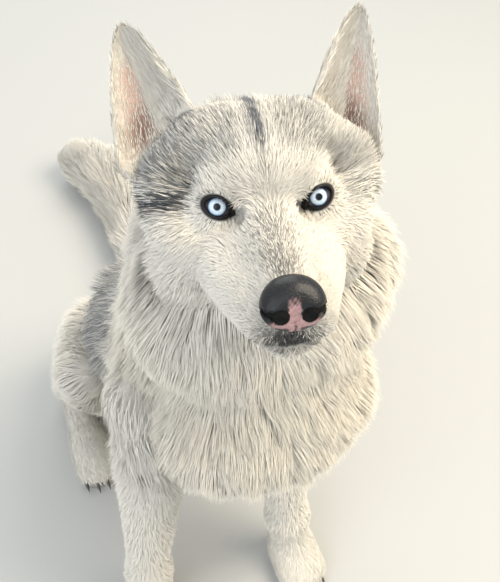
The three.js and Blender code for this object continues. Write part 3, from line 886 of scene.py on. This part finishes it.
# the way the hair lies, before it is laid along the skin
def lieOf(points, normals, names, onEar):
    head = toHead(points)
    x, y, z = head.T
    px, py, pz = points.T
    side = np.tanh(x / 14)
    n = len(points)
    lie = np.zeros((n, 3))
    # head, in its own layout: back from the nose, up over the brow, and down and out on the cheeks
    muzzle = ramp(-y, -5, 25)
    cheek = ramp(np.abs(x), 26, 52) * ramp(-z, -12, 18)
    brow = ramp(z, 4, 22) * (1 - muzzle)
    own = np.stack(
        [
            side * (0.22 + 0.35 * cheek + 0.22 * brow * ramp(np.abs(x), 6, 40)),
            np.ones(n) - 0.25 * cheek,
            0.1 * muzzle + 0.55 * brow - 0.8 * cheek - 0.35 * ramp(-z, 40, 70),
        ],
        1,
    )
    # hair parts round the eyes and leaves them free
    parting = 1.5 * bump(fromEyes(head), 12, 7)[:, None] * unit(mirrored(head) - eyeMiddle)
    parting[:, 0] *= np.sign(x)
    headWays = unit(unit(own) + parting) @ headAxes
    back = ramp(py, 60, 150)
    trunkWays = np.stack([0.34 * np.tanh((px - 20) / 60), -0.2 + 0.65 * back, -np.ones(n)], 1)
    legForward = 1.1 * ramp(-pz, -60, -20) + 0.65 * ramp(pz, 290, 380)
    legWays = np.stack([np.zeros(n), 0.15 - legForward, -np.ones(n)], 1)
    footWays = np.stack([np.zeros(n), -np.ones(n), -0.35 * np.ones(n)], 1)
    thighWays = np.stack([0.8 * np.tanh(px / 30), 0.4 * np.ones(n), -0.75 * np.ones(n)], 1)
    tailWays = np.stack([0.12 * np.tanh((px - 10) / 20), np.ones(n), np.zeros(n)], 1)
    # ears: up to the point, and from the inner edge of the front face also out over the cup
    front = ramp(-(normals @ headAxes.T)[:, 1], 0.1, 0.3) * ramp(-earPlace(points)[1], -0.1, 0.3)
    rising = np.stack([np.sign(x) * (0.12 + 0.5 * front), -0.1 * front, np.ones(n)], 1) @ headAxes
    for name in parts:
        mask = names == name
        if name == "head":
            lie[mask] = headWays[mask]
        elif name == "trunk":
            lie[mask] = trunkWays[mask]
        elif name.startswith("foreleg"):
            lie[mask] = legWays[mask]
        elif name.startswith("hindleg"):
            lie[mask] = thighWays[mask]
        elif name.startswith("hindfoot"):
            lie[mask] = footWays[mask]
        else:
            lie[mask] = tailWays[mask]
    lie[onEar] = rising[onEar]
    return unit(lie)


def trianglesOf(obj):
    mesh = obj.data
    mesh.calc_loop_triangles()
    count = len(mesh.loop_triangles)
    corners = np.empty(count * 3, int)
    loops = np.empty(count * 3, int)
    mesh.loop_triangles.foreach_get("vertices", corners)
    mesh.loop_triangles.foreach_get("loops", loops)
    uvs = np.empty(len(mesh.loops) * 2)
    mesh.uv_layers["OFBake"].uv.foreach_get("vector", uvs)
    return corners.reshape(-1, 3), uvs.reshape(-1, 2)[loops.reshape(-1, 3)]


# roots spread over the skin, closer together where the kind of hair asks for it
def plantRoots():
    corners, uvs = trianglesOf(skinObject)
    tri = skinPoints[corners]
    normal = np.cross(tri[:, 1] - tri[:, 0], tri[:, 2] - tri[:, 0])
    area = np.linalg.norm(normal, axis=1) / 2
    middle = tri.mean(1)
    earFace = onEar[corners].all(1)
    names = partNames(middle)
    front = (unit(normal) @ headAxes.T)[:, 1] < -0.15
    kind = kindOf(middle, names, earFace, front)
    spacing = np.array([coat[k]["spacing"] for k in kinds])[[kinds.index(k) for k in kind]]
    weight = area / spacing**2
    weight *= keepClear(middle, unit(normal), earFace)
    total = weight.sum()
    count = int(total)
    marks = (np.arange(count) + draw.random(count)) * total / count
    face = np.searchsorted(np.cumsum(weight), marks).clip(0, len(weight) - 1)
    a, b = draw.random((2, count))
    flip = a + b > 1
    a[flip], b[flip] = 1 - a[flip], 1 - b[flip]
    mix = np.stack([1 - a - b, a, b], 1)[:, :, None]
    roots = (tri[face] * mix).sum(1)
    normals = unit((skinNormals[corners[face]] * mix).sum(1))
    return roots, normals, (uvs[face] * mix).sum(1), names[face], kind[face], earFace[face]


# 0 where no hair grows: on the lids, the line of the mouth, the nose, and buried skin
def keepClear(points, normals, earFace):
    x, y, z = toHead(points).T
    clear = np.ones(len(points))
    clear[nearLids(points, 2.2) > 0.4] = 0
    onMouth = (np.abs(z - mouthHeight(y)) < 1.2) & (y < -8) & (y > -112) & (np.abs(x) < 42)
    nose = np.linalg.norm((toHead(points) - (0, -96, -31)) / (21, 15, 16), axis=1) < 1
    philtrum = (np.abs(x) < 0.7) & (y < -84) & (z < -42) & (z > -66)
    clear[onMouth | nose | philtrum] = 0
    inEar = earFace & (inCup(points, normals) > 0.4)
    clear[inEar] *= 0.28
    buried = earFace & (partDistance("head", points) < 1)
    clear[buried] = 0
    clear[points[:, 2] < 1.2] = 0
    return clear


roots, normals, rootUvs, rootNames, rootKinds, rootOnEar = plantRoots()
print("roots:", len(roots), {k: int((rootKinds == k).sum()) for k in kinds})


def valuesOf(key):
    table = np.array([coat[k][key] for k in kinds], float)
    return table[np.array([kinds.index(k) for k in rootKinds])]


# A coat of tufts: every tuft is a closed spindle of three sides, thin at both ends, which follows
# the skin at a height that grows from the root to the tip.
tuft = {
    "stations": (0, 0.42, 1),  # its root, its widest place and its tip, along its length
    "sunk": 0.6,  # depth of its root under the skin
    "lowest": 1.3,  # height of its tip over the skin, at least
    "flat": 0.75,  # its thickness over half its width
    "softness": 0.88,  # how much it is shaded as the coat under it, so that fine hair looks soft
    "patch": 0.003,  # how much of the bake's picture it takes
}
count = len(roots)
strayed = lieOf(roots, normals, rootNames, rootOnEar)
strayed = strayed + valuesOf("stray")[:, None] * draw.normal(size=(count, 3))
lies = unit(strayed - normals * (strayed * normals).sum(1)[:, None])


# slow waves over the coat, so that neighbouring hair turns and lifts together
def waves(points, size):
    x, y, z = points.T / size
    first = np.sin(x + 1.3 * np.sin(0.6 * z + 0.4 * y)) * np.cos(0.7 * z - 0.5 * x)
    second = np.sin(1.9 * z + 0.9 * y + 1.1 * np.sin(1.4 * x))
    return 0.6 * first + 0.4 * second


waviness = np.where(np.isin(rootKinds, longKinds), 0.38, 0.1)
lies = unit(lies + np.cross(normals, lies) * (waviness * waves(roots, 13))[:, None])
lengths = valuesOf("length") * (1 + 0.22 * draw.normal(size=count)).clip(0.5, 1.5)
widths = valuesOf("width") * (1 + 0.2 * draw.normal(size=count)).clip(0.5, 1.6)
depths = np.zeros(count)
for name in parts:
    mask = rootNames == name
    depths[mask] = coatDepth(name, roots[mask])
depths[rootOnEar] = 6
x, y, z = toHead(roots).T
isFace = (rootNames == "head") & ~rootOnEar
# the hair is shortest near the nose, the eyes and the toes
lengths[isFace] *= 1 - 0.5 * nearLids(roots[isFace], 9)
lengths[isFace] *= 0.7 + 0.3 * ramp(y[isFace], -95, -40)
rises = depths * valuesOf("rise") * (1 + 0.22 * draw.normal(size=count)).clip(0.4, 1.5)
fromCorner = np.linalg.norm(mirrored(toHead(roots)) - (22, -9, -4), axis=1)
rises = np.maximum(rises, tuft["lowest"] + 2 * bump(fromCorner, 0, 9) * isFace)
rises = rises * (1 + 0.22 * waves(roots + 31, 9))


def walkPaths(chosen):
    path = [roots[chosen] - normals[chosen] * tuft["sunk"]]
    here, way = roots[chosen].copy(), lies[chosen].copy()
    names = rootNames[chosen]
    ears = rootOnEar[chosen]
    for before, after in zip(tuft["stations"], tuft["stations"][1:]):
        ahead = here + way * (lengths[chosen] * (after - before))[:, None]
        height = rises[chosen] * (1 - (1 - after) ** 2)
        for name in parts:
            mask = (names == name) & ~ears
            if mask.any():
                nearby = withNeighbours(name)
                field = lambda p: skinDistance(p, nearby)
                distance, slope = withSlope(field, ahead[mask], 1.0)
                steep = np.maximum(np.linalg.norm(slope, axis=1), 0.3)[:, None]
                out = slope / steep
                lift = (height[mask] - distance)[:, None] / steep
                ahead[mask] += out * np.clip(lift, -14, 14)
                turned = way[mask] - out * (way[mask] * out).sum(1)[:, None]
                way[mask] = unit(turned)
        ahead[ears] += normals[chosen][ears] * (height[ears] * 0.5)[:, None]
        here = ahead
        path.append(ahead)
    return np.stack(path, 1)


# tips of neighbouring tufts are drawn together, so that the long hair parts in clumps, and some
# clumps stand higher than others
def gatherClumps(paths, chosen, spacing, strength, lift):
    anchors = draw.choice(len(chosen), max(1, int(len(chosen) / spacing)), replace=False)
    tree = kdtree.KDTree(len(anchors))
    for i, anchor in enumerate(anchors):
        tree.insert(paths[anchor, 0], i)
    tree.balance()
    which = np.array([tree.find(p)[1] for p in paths[:, 0]])
    nearest = anchors[which]
    lifts = lift * draw.normal(size=len(anchors)).clip(-1.6, 1.6)
    raised = lifts[which, None] * normals[chosen]
    for i, station in enumerate(tuft["stations"]):
        if i:
            pull = (strength * station**1.3)[:, None]
            paths[:, i] += pull * (paths[nearest, i] - paths[:, i]) + station * raised
    return paths


# the faces of one tuft, and where their corners lie round it and along it
tuftFaces = [(0, 1 + j, 1 + (j + 1) % 3) for j in range(3)]
tuftFaces += [(1 + j, 4, 1 + (j + 1) % 3) for j in range(3)]
tuftSpots = [((j + 0.5) / 3, 0, j / 3, 1, (j + 1) / 3, 1) for j in range(3)]
tuftSpots += [(j / 3, 1, (j + 0.5) / 3, 2, (j + 1) / 3, 1) for j in range(3)]


def tuftPiece(name, paths, ups, chosen, rootToneAndShade, tipTone):
    n = len(paths)
    along = unit(paths[:, 2] - paths[:, 0])
    across = unit(np.cross(along, ups))
    out = np.cross(across, along)
    half = (widths[chosen] / 2)[:, None]
    points = np.empty((n, 5, 3))
    points[:, 0] = paths[:, 0]
    points[:, 4] = paths[:, 2]
    facing = np.repeat(ups[:, None], 5, 1)
    facing[:, 4] = out
    for corner, (way, size) in enumerate(((across, 1), (out, tuft["flat"]), (-across, 1))):
        points[:, 1 + corner] = paths[:, 1] + way * half * size
        facing[:, 1 + corner] = unit(tuft["softness"] * out + (1 - tuft["softness"]) * way)
    mesh = bpy.data.meshes.new(name)
    mesh.vertices.add(n * 5)
    mesh.vertices.foreach_set("co", toFrame(points.reshape(-1, 3)).ravel())
    flat = np.array(tuftFaces).ravel()
    mesh.loops.add(n * len(flat))
    corners = (flat[None] + np.arange(n)[:, None] * 5).ravel().astype(np.int32)
    mesh.loops.foreach_set("vertex_index", corners)
    mesh.polygons.add(n * len(tuftFaces))
    mesh.polygons.foreach_set("loop_start", np.arange(0, n * len(flat), 3, dtype=np.int32))
    mesh.update(calc_edges=True)
    spots = np.array(tuftSpots).reshape(-1, 2) * (1, 0.5)
    bake = mesh.uv_layers.new(name="OFBake")
    spread = rootUvs[chosen][:, None] + tuft["patch"] * (spots - 0.5)[None]
    bake.uv.foreach_set("vector", np.clip(spread, 0, 1).ravel())
    strand = mesh.uv_layers.new(name="Strand")
    strand.uv.foreach_set("vector", (spots[None] + draw.random((n, 1, 2)) * (7, 3)).ravel())
    mesh.uv_layers.active = bake
    steps = np.array([0] + [tuft["stations"][1] ** 0.8] * 3 + [1])
    tone = rootToneAndShade[:, None] + (tipTone - rootToneAndShade)[:, None] * steps[None, :, None]
    paint(mesh, "Markings", tone.reshape(-1, 3))
    mesh.shade_smooth()
    mesh.normals_split_custom_set_from_vertices(facing.reshape(-1, 3))
    obj = bpy.data.objects.new(name, mesh)
    bpy.context.collection.objects.link(obj)
    return obj


light, dark, share = markings(roots, rootOnEar)
pick = draw.random(count)
# grizzled hair: each tuft is mostly dark or mostly light, and more of them are dark where the
# marking is strong
mixing = np.where(isFace, 0.5, 0.32)
darkness = ramp(share + mixing * (2 * pick - 1), 0.34, 0.76) * (0.6 + 0.4 * share)
darkness = np.where(share < 0.03, 0, darkness)
tipColour = light * (1 - darkness[:, None]) + dark * darkness[:, None]
tipColour *= (1 + 0.05 * draw.normal(size=count)).clip(0.85, 1.08)[:, None]
# the root of each tuft: paler in grizzled hair, as its base is; also a little darker than the light
# hair, and darker still in the dark markings, as painted shade down between the clumps
rootShare = (0.5 + 0.4 * ramp(share, 0.5, 0.8))[:, None]
rootColourAndShade = tipColour * rootShare + light * 0.95 * (1 - rootShare)
rootColourAndShade[share > 0.3] *= 0.85
nearMouth = bump(z, mouthHeight(y), 3.4) * isFace * ramp(-y, 30, 80) * bump(x, -2, 22)
nearMouth = 0.95 * nearMouth[:, None]
tipColour = tipColour * (1 - nearMouth) + coatColours["black"] * nearMouth
lidDark = (nearLids(roots, 3.6) * (draw.random(count) < 0.8) * isFace)[:, None]
tipColour = tipColour * (1 - lidDark) + coatColours["black"] * lidDark
rootColourAndShade = rootColourAndShade * (1 - lidDark) + coatColours["black"] * lidDark

# guard hair: soft, slightly glossy along its length; fine strands are drawn along each tuft
hairMaterial, tree, shader = newMaterial("guardHair")
marks = addNode(tree, "ShaderNodeVertexColor", {"layer_name": "Markings"})
strandMap = addNode(tree, "ShaderNodeUVMap", {"uv_map": "Strand"})
stretch = addNode(
    tree,
    "ShaderNodeMapping",
    links={"Vector": strandMap.outputs["UV"]},
    values={"Scale": (16, 0.9, 1)},
)
strands = addNode(
    tree,
    "ShaderNodeTexNoise",
    links={"Vector": stretch.outputs["Vector"]},
    values={"Scale": 1, "Detail": 3, "Roughness": 0.6},
)
toned = addNode(
    tree,
    "ShaderNodeMapRange",
    links={"Value": strands.outputs["Fac"]},
    values={"From Min": 0.3, "From Max": 0.7, "To Min": 0.86, "To Max": 1.05},
)
shaded = addNode(
    tree,
    "ShaderNodeVectorMath",
    {"operation": "MULTIPLY"},
    links={0: marks.outputs["Color"], 1: toned.outputs["Result"]},
)
relief = addNode(
    tree,
    "ShaderNodeBump",
    links={"Height": strands.outputs["Fac"]},
    values={"Strength": 0.5, "Distance": 0.0004},
)
tree.links.new(shaded.outputs["Vector"], shader.inputs["Base Color"])
tree.links.new(relief.outputs["Normal"], shader.inputs["Normal"])
shader.inputs["Roughness"].default_value = 0.6
shader.inputs["Specular IOR Level"].default_value = 0.3
shader.inputs["Sheen Weight"].default_value = 0.12
shader.inputs["Sheen Roughness"].default_value = 0.4

coatGroups = {
    "face": ("muzzle", "face", "ear", "fringe"),
    "cheek": ("cheek", "nape"),
    "ruff": ("ruff",),
    "back": ("back",),
    "limbs": ("leg", "foot"),
    "thigh": ("thigh",),
    "tail": ("tail",),
}
coatPieces = []
triangleLimit = 190000
for group, members in coatGroups.items():
    chosen = np.flatnonzero(np.isin(rootKinds, members))
    paths = walkPaths(chosen)
    strength = valuesOf("clump")[chosen]
    if members[0] in longKinds:
        paths = gatherClumps(paths, chosen, 12, 0.5 * strength, 0.5)
        paths = gatherClumps(paths, chosen, 80, 0.8 * strength, 2.2)
    else:
        paths = gatherClumps(paths, chosen, 7, strength, 0.1)
    paths[:, 1:, 2] = np.maximum(paths[:, 1:, 2], 1.8)
    pieceCount = math.ceil(len(chosen) * len(tuftFaces) / triangleLimit)
    order = np.argsort(roots[chosen, 2])
    for i, block in enumerate(np.array_split(order, pieceCount)):
        own = chosen[block]
        name = f"coat_{group}_{i + 1}"
        obj = tuftPiece(name, paths[block], normals[own], own, rootColourAndShade[own], tipColour[own])
        obj.data.materials.append(hairMaterial)
        coatPieces.append(obj)
print("coat:", len(coatPieces), "pieces", sum(len(o.data.polygons) for o in coatPieces), "faces")

# The nose: a pad with round wings, comma nostrils and a groove down to the lip.
nose = {
    "masses": [ball((0, -93, -27), (18.6, 13.5, 13.5)), ball((0, -96, -41), (14.5, 9.5, 8.5))]
    + [ball((11.4 * s, -97, -33), (9.6, 10.5, 10.5)) for s in sides],
    "blend": 6,
    "nostril": ball((9.2, -107, -34.5), (4.7, 12, 5.0)),
    "slit": ball((15, -102, -33), (6.8, 9, 1.9)),
}


def noseDistance(points):
    distance = None
    for mass in nose["masses"]:
        own = massDistance(mass, points)
        distance = own if distance is None else softMin(distance, own, nose["blend"])
    for key in ("nostril", "slit"):
        hole = massDistance(nose[key], mirrored(points))
        distance = -softMin(-distance, hole, 1.2)
    x, y, z = points.T
    return distance + 1.1 * bump(x, 0, 0.9) * ramp(-y, 98, 103) * ramp(-z, 27, 36)


bpy.ops.mesh.primitive_ico_sphere_add(subdivisions=6, radius=1, location=(0, 0, 0))
noseObject = bpy.context.object
noseObject.name = noseObject.data.name = "nose_pad"
noseStart = pointsOf(noseObject) * (19, 13, 15) + (0, -96, -32)
nosePoints = settle(noseDistance, noseStart, 12, 2)
setPoints(noseObject, toFrame(fromHead(nosePoints)))
bpy.ops.object.shade_smooth()
nx, ny, nz = nosePoints.T
mottle = np.sin(nx * 0.9 + 1.7) * np.cos(nz * 1.1 + nx * 0.5) + 0.6 * np.sin(2.3 * nx - 1.7 * nz)
strip = (1 - ramp(np.abs(nx + 0.5) + 0.5 * mottle, 3.0, 4.7)) * ramp(-nz + 1.6 * mottle, 21, 30)
lower = ramp(-nz + 0.5 * mottle - 0.12 * np.abs(nx), 34.5, 36.5) * (1 - ramp(np.abs(nx), 14, 17))
lower *= 1 - ramp(-nz + 0.4 * mottle, 42.5, 44.5)
pinkShare = np.clip(strip + lower, 0, 1) * ramp(-ny, 92, 98)
onLeft = mirrored(nosePoints)
inside = (massDistance(nose["nostril"], onLeft) < 0.8) | (massDistance(nose["slit"], onLeft) < 0.5)
pinkShare[inside] = 0
pinkShare = pinkShare[:, None]
noseColour = colourOf("101113") * (1 - pinkShare) + colourOf("a98785") * pinkShare
noseColour *= (1 + 0.12 * mottle)[:, None].clip(0.8, 1.15)
# painted shade: the insides of the nostrils are darkened to a fifth
noseColour[inside] *= 0.2
# painted shade in the groove down the middle of the nose
noseColour[(np.abs(nx) < 0.7) & (nz < -38) & (ny < -90)] *= 0.3
paint(noseObject.data, "Markings", noseColour)
paint(noseObject.data, "Wet", np.repeat(1.0 - inside[:, None], 3, 1))

# bare nose skin: moist, with pebbles about 1.1 mm across
noseMaterial, tree, shader = newMaterial("noseLeather")
marks = addNode(tree, "ShaderNodeVertexColor", {"layer_name": "Markings"})
place = addNode(tree, "ShaderNodeTexCoord")
pebbles = addNode(
    tree,
    "ShaderNodeTexVoronoi",
    links={"Vector": place.outputs["Object"]},
    values={"Scale": 900, "Randomness": 0.9},
)
relief = addNode(
    tree,
    "ShaderNodeBump",
    {"invert": True},
    links={"Height": pebbles.outputs["Distance"]},
    values={"Strength": 0.55, "Distance": 0.0006},
)
tree.links.new(marks.outputs["Color"], shader.inputs["Base Color"])
wet = addNode(tree, "ShaderNodeAttribute", {"attribute_name": "Wet"})
wetness = addNode(
    tree, "ShaderNodeMath", {"operation": "MULTIPLY"}, {0: wet.outputs["Fac"]}, {1: 0.25}
)
dryness = addNode(
    tree,
    "ShaderNodeMapRange",
    links={"Value": wet.outputs["Fac"]},
    values={"To Min": 0.95, "To Max": 0.4},
)
shader.inputs["Specular IOR Level"].default_value = 0.3
tree.links.new(relief.outputs["Normal"], shader.inputs["Normal"])
tree.links.new(wetness.outputs["Value"], shader.inputs["Coat Weight"])
tree.links.new(dryness.outputs["Result"], shader.inputs["Roughness"])
shader.inputs["Coat Roughness"].default_value = 0.2
noseObject.data.materials.append(noseMaterial)
print("nose made")

# The eyes: a globe with a bulging cornea over an ice-blue iris, which looks up at the camera.
camera = {
    "from": np.array((-131, -375.5, 1097.6)),
    "heading": np.array((0.3907, 0.9205)),
    "pitch": 51,  # degrees down
    "focal": 824,  # in pixels of a picture 582 high
    "height": 582,
}
eyes = {"radius": 11.4, "bulge": 0.7, "follow": 0.45}


def makeEye(side):
    middle = fromHead(eyeMiddle * (side, 1, 1))
    ahead = (lids["look"] * (side, 1, 1)) @ headAxes
    gaze = unit(eyes["follow"] * unit(camera["from"] - middle) + (1 - eyes["follow"]) * ahead)
    bpy.ops.mesh.primitive_uv_sphere_add(segments=64, ring_count=48, radius=1, location=(0, 0, 0))
    obj = bpy.context.object
    points = pointsOf(obj)
    front = np.clip((points[:, 2] - 0.82) / 0.18, 0, 1)
    points *= (eyes["radius"] + eyes["bulge"] * front**0.8)[:, None]
    turnTo = np.array(Vector(gaze).to_track_quat("Z", "Y").to_matrix())
    setPoints(obj, toFrame(points @ turnTo.T + middle))
    bpy.ops.object.shade_smooth()
    obj.name = obj.data.name = "eyeball_left" if side > 0 else "eyeball_right"
    return obj


eyeObjects = [makeEye(side) for side in sides]

# wet eye: clear film over a pale blue iris with fine spokes, a dark ring and a small pupil
eyeMaterial, tree, shader = newMaterial("wetEye")
globeMap = addNode(tree, "ShaderNodeUVMap", {"uv_map": "UVMap"})
apart = addNode(tree, "ShaderNodeSeparateXYZ", links={"Vector": globeMap.outputs["UV"]})
rings = addNode(tree, "ShaderNodeValToRGB", links={"Fac": apart.outputs["Y"]})
stops = [
    (0.0, "5e5350"),
    (0.785, "453c3c"),
    (0.800, "1e2a38"),
    (0.822, "3f5d78"),
    (0.838, "a9c3d6"),
    (0.885, "dae7ee"),
    (0.922, "c3d6e3"),
    (0.935, "4b657c"),
    (0.942, "040506"),
]
while len(rings.color_ramp.elements) < len(stops):
    rings.color_ramp.elements.new(0.5)
for element, (at, colour) in zip(rings.color_ramp.elements, stops):
    element.position = at
    element.color = (*linear(colour), 1)
spokeMap = addNode(
    tree,
    "ShaderNodeMapping",
    links={"Vector": globeMap.outputs["UV"]},
    values={"Scale": (90, 14, 1)},
)
spokes = addNode(
    tree,
    "ShaderNodeTexNoise",
    links={"Vector": spokeMap.outputs["Vector"]},
    values={"Scale": 1, "Detail": 2},
)
toned = addNode(
    tree,
    "ShaderNodeMapRange",
    links={"Value": spokes.outputs["Fac"]},
    values={"From Min": 0.3, "From Max": 0.7, "To Min": 0.72, "To Max": 1.12},
)
shaded = addNode(
    tree,
    "ShaderNodeVectorMath",
    {"operation": "MULTIPLY"},
    links={0: rings.outputs["Color"], 1: toned.outputs["Result"]},
)
tree.links.new(shaded.outputs["Vector"], shader.inputs["Base Color"])
shader.inputs["Roughness"].default_value = 0.35
shader.inputs["Specular IOR Level"].default_value = 0.1
shader.inputs["Coat Weight"].default_value = 1.0
shader.inputs["Coat Roughness"].default_value = 0.02
shader.inputs["Coat IOR"].default_value = 1.37
for obj in eyeObjects:
    obj.data.materials.append(eyeMaterial)


# The bare dark rims of the lids, with the point of the tear duct at the inner corner.
def makeRim(side):
    bpy.ops.mesh.primitive_torus_add(
        major_segments=64, minor_segments=12, major_radius=1, minor_radius=0.1, location=(0, 0, 0)
    )
    obj = bpy.context.object
    points = pointsOf(obj)
    angle = np.arctan2(points[:, 1], points[:, 0])
    inner = ramp(-np.cos(angle), 0.72, 1)
    outward = (np.hypot(points[:, 0], points[:, 1]) - 1) / 0.1
    upward = points[:, 2] / 0.1
    tall = np.where(np.sin(angle) > 0, lids["upper"], lids["lower"])
    a = lids["wide"] * np.cos(angle) - 2.2 * inner
    b = tall * np.sin(angle) * (1 - 0.4 * inner) - 0.9 * inner
    thick = lids["rim"] * (1 + 0.5 * inner + 0.25 * (np.sin(angle) > 0))
    flat = unit(np.stack([a / lids["wide"] ** 2, b / tall**2], 1))
    # where the skin round the opening stands out from the globe, the rim rises to it
    seat = np.stack([a, b, np.sqrt(lids["lift"] ** 2 - a**2 - b**2)], 1) @ lidAxes + eyeMiddle
    raised = np.clip(-skinDistance(fromHead(seat * (side, 1, 1)), ("head",)), -0.2, 4)
    a = a + flat[:, 0] * outward * thick
    b = b + flat[:, 1] * outward * thick
    radius = lids["lift"] + upward * thick * 0.8
    c = np.sqrt(np.maximum(radius**2 - a**2 - b**2, 4)) + raised
    local = np.stack([a, b, c], 1) @ lidAxes + eyeMiddle
    setPoints(obj, toFrame(fromHead(local * (side, 1, 1))))
    if side < 0:
        bpy.ops.object.mode_set(mode="EDIT")
        bpy.ops.mesh.select_all(action="SELECT")
        bpy.ops.mesh.normals_make_consistent(inside=False)
        bpy.ops.object.mode_set(mode="OBJECT")
    bpy.ops.object.shade_smooth()
    return obj


rimObjects = [makeRim(side) for side in sides]
rimObject = joinInto(rimObjects[0], rimObjects[1:])
rimObject.name = rimObject.data.name = "lid_rims"
# lid skin: bare, black and slightly wet
rimMaterial, tree, shader = newMaterial("lidSkin")
place = addNode(tree, "ShaderNodeTexCoord")
grain = addNode(
    tree,
    "ShaderNodeTexNoise",
    links={"Vector": place.outputs["Object"]},
    values={"Scale": 1200, "Detail": 3},
)
tones = addNode(tree, "ShaderNodeValToRGB", links={"Fac": grain.outputs["Fac"]})
tones.color_ramp.elements[0].color = (*linear("0b0b0d"), 1)
tones.color_ramp.elements[1].color = (*linear("1f1d1e"), 1)
relief = addNode(
    tree,
    "ShaderNodeBump",
    links={"Height": grain.outputs["Fac"]},
    values={"Strength": 0.3, "Distance": 0.0003},
)
tree.links.new(tones.outputs["Color"], shader.inputs["Base Color"])
tree.links.new(relief.outputs["Normal"], shader.inputs["Normal"])
shader.inputs["Roughness"].default_value = 0.45
shader.inputs["Specular IOR Level"].default_value = 0.25
rimObject.data.materials.append(rimMaterial)
print("eyes made")

# Claws: one is modelled and copied to the sixteen toes.
claws = {"length": 16, "radius": 3.4, "drop": 6}
bpy.ops.mesh.primitive_uv_sphere_add(segments=14, ring_count=12, radius=1, location=(0, 0, 0))
clawStart = bpy.context.object
clawPoints = pointsOf(clawStart)
along = (1 - clawPoints[:, 2]) / 2
taper = (1 - 0.8 * along**1.4)[:, None]
clawShape = np.concatenate([clawPoints[:, :2] * taper * claws["radius"], along[:, None]], 1)
clawShape = np.stack(
    [
        clawShape[:, 0],
        3 - clawShape[:, 2] * (claws["length"] + 3),
        clawShape[:, 1] * 1.15 - claws["drop"] * along**2,
    ],
    1,
)
toes = []
for side in sides:
    toes += [(m["at"], side) for m in forelegMasses(side)[-4:]]
    toes += [(m["at"], side) for m in hindfootMasses(side)[-4:]]
clawObjects = []
for at, side in toes:
    copy = clawStart.copy()
    copy.data = clawStart.data.copy()
    bpy.context.collection.objects.link(copy)
    setPoints(copy, toFrame(clawShape + at + (0, -11, 0.5)))
    clawObjects.append(copy)
bpy.data.objects.remove(clawStart)
clawObject = joinInto(clawObjects[0], clawObjects[1:])
clawObject.name = clawObject.data.name = "claws"
bpy.ops.object.mode_set(mode="EDIT")
bpy.ops.mesh.select_all(action="SELECT")
bpy.ops.mesh.normals_make_consistent(inside=False)
bpy.ops.object.mode_set(mode="OBJECT")
bpy.ops.object.shade_smooth()
# claw horn: dark and smooth, streaked along its length
clawMaterial, tree, shader = newMaterial("clawHorn")
place = addNode(tree, "ShaderNodeTexCoord")
stretch = addNode(
    tree,
    "ShaderNodeMapping",
    links={"Vector": place.outputs["Object"]},
    values={"Scale": (1500, 150, 1500)},
)
grain = addNode(
    tree,
    "ShaderNodeTexNoise",
    links={"Vector": stretch.outputs["Vector"]},
    values={"Scale": 1, "Detail": 2},
)
tones = addNode(tree, "ShaderNodeValToRGB", links={"Fac": grain.outputs["Fac"]})
tones.color_ramp.elements[0].color = (*linear("2a2522"), 1)
tones.color_ramp.elements[1].color = (*linear("5b4f47"), 1)
tree.links.new(tones.outputs["Color"], shader.inputs["Base Color"])
shader.inputs["Roughness"].default_value = 0.35
clawObject.data.materials.append(clawMaterial)
print("claws made")

# The stage: a plain pale floor.
bpy.ops.mesh.primitive_plane_add(size=12, location=(0, 0, 0))
floor = bpy.context.object
floor.name = "floor"
floorMaterial, tree, shader = newMaterial("paleFloor")
shader.inputs["Base Color"].default_value = (*linear("b9b9b4"), 1)
shader.inputs["Roughness"].default_value = 0.9
floor.data.materials.append(floorMaterial)

lights = {
    "key": {"at": (1.2, -0.7, 2.2), "size": 1.5, "power": 62, "colour": "fff1dc"},
    "fill": {"at": (-1.6, -1.2, 1.6), "size": 2.2, "power": 30, "colour": "eef3ff"},
    "rim": {"at": (0.3, 1.7, 1.9), "size": 1.8, "power": 26, "colour": "ffffff"},
}
for name, light in lights.items():
    data = bpy.data.lights.new(name, "AREA")
    data.size = light["size"]
    data.energy = light["power"]
    data.color = linear(light["colour"])
    lamp = bpy.data.objects.new(name, data)
    lamp.location = light["at"]
    aim = Vector((0, -0.3, 0.45)) - Vector(light["at"])
    lamp.rotation_euler = aim.to_track_quat("-Z", "Y").to_euler()
    bpy.context.collection.objects.link(lamp)
world = bpy.data.worlds.new("studio")
world.use_nodes = True
world.node_tree.nodes["Background"].inputs["Color"].default_value = (*linear("e8ecf0"), 1)
world.node_tree.nodes["Background"].inputs["Strength"].default_value = 0.9
bpy.context.scene.world = world
bpy.context.scene.view_settings.view_transform = "Standard"

lens = bpy.data.cameras.new("camera")
lens.sensor_fit = "VERTICAL"
lens.sensor_height = 36
lens.lens = 36 * camera["focal"] / camera["height"]
cameraObject = bpy.data.objects.new("camera", lens)
down = math.radians(camera["pitch"])
view = Vector((*(camera["heading"] * math.cos(down)), -math.sin(down)))
cameraObject.location = toFrame(camera["from"])
cameraObject.rotation_euler = view.to_track_quat("-Z", "Y").to_euler()
bpy.context.collection.objects.link(cameraObject)
bpy.context.scene.camera = cameraObject

# The frame's own pieces for the flesh, nose, eyes and claws are hidden, and the new pieces hang from
# the body's root.
flesh = ["head", "ear_left", "ear_right", "neck", "chest", "torso", "tail"]
flesh += [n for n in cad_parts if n.startswith(("foreleg", "hindleg", "hindfoot"))]
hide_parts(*flesh)
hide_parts("nose")
for obj, node in zip(eyeObjects, ("eye_left", "eye_right")):
    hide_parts(node)
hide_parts(*[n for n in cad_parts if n.startswith("claw")])
for piece in [skinObject, noseObject, rimObject, clawObject, *eyeObjects, *coatPieces]:
    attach(piece, "root")
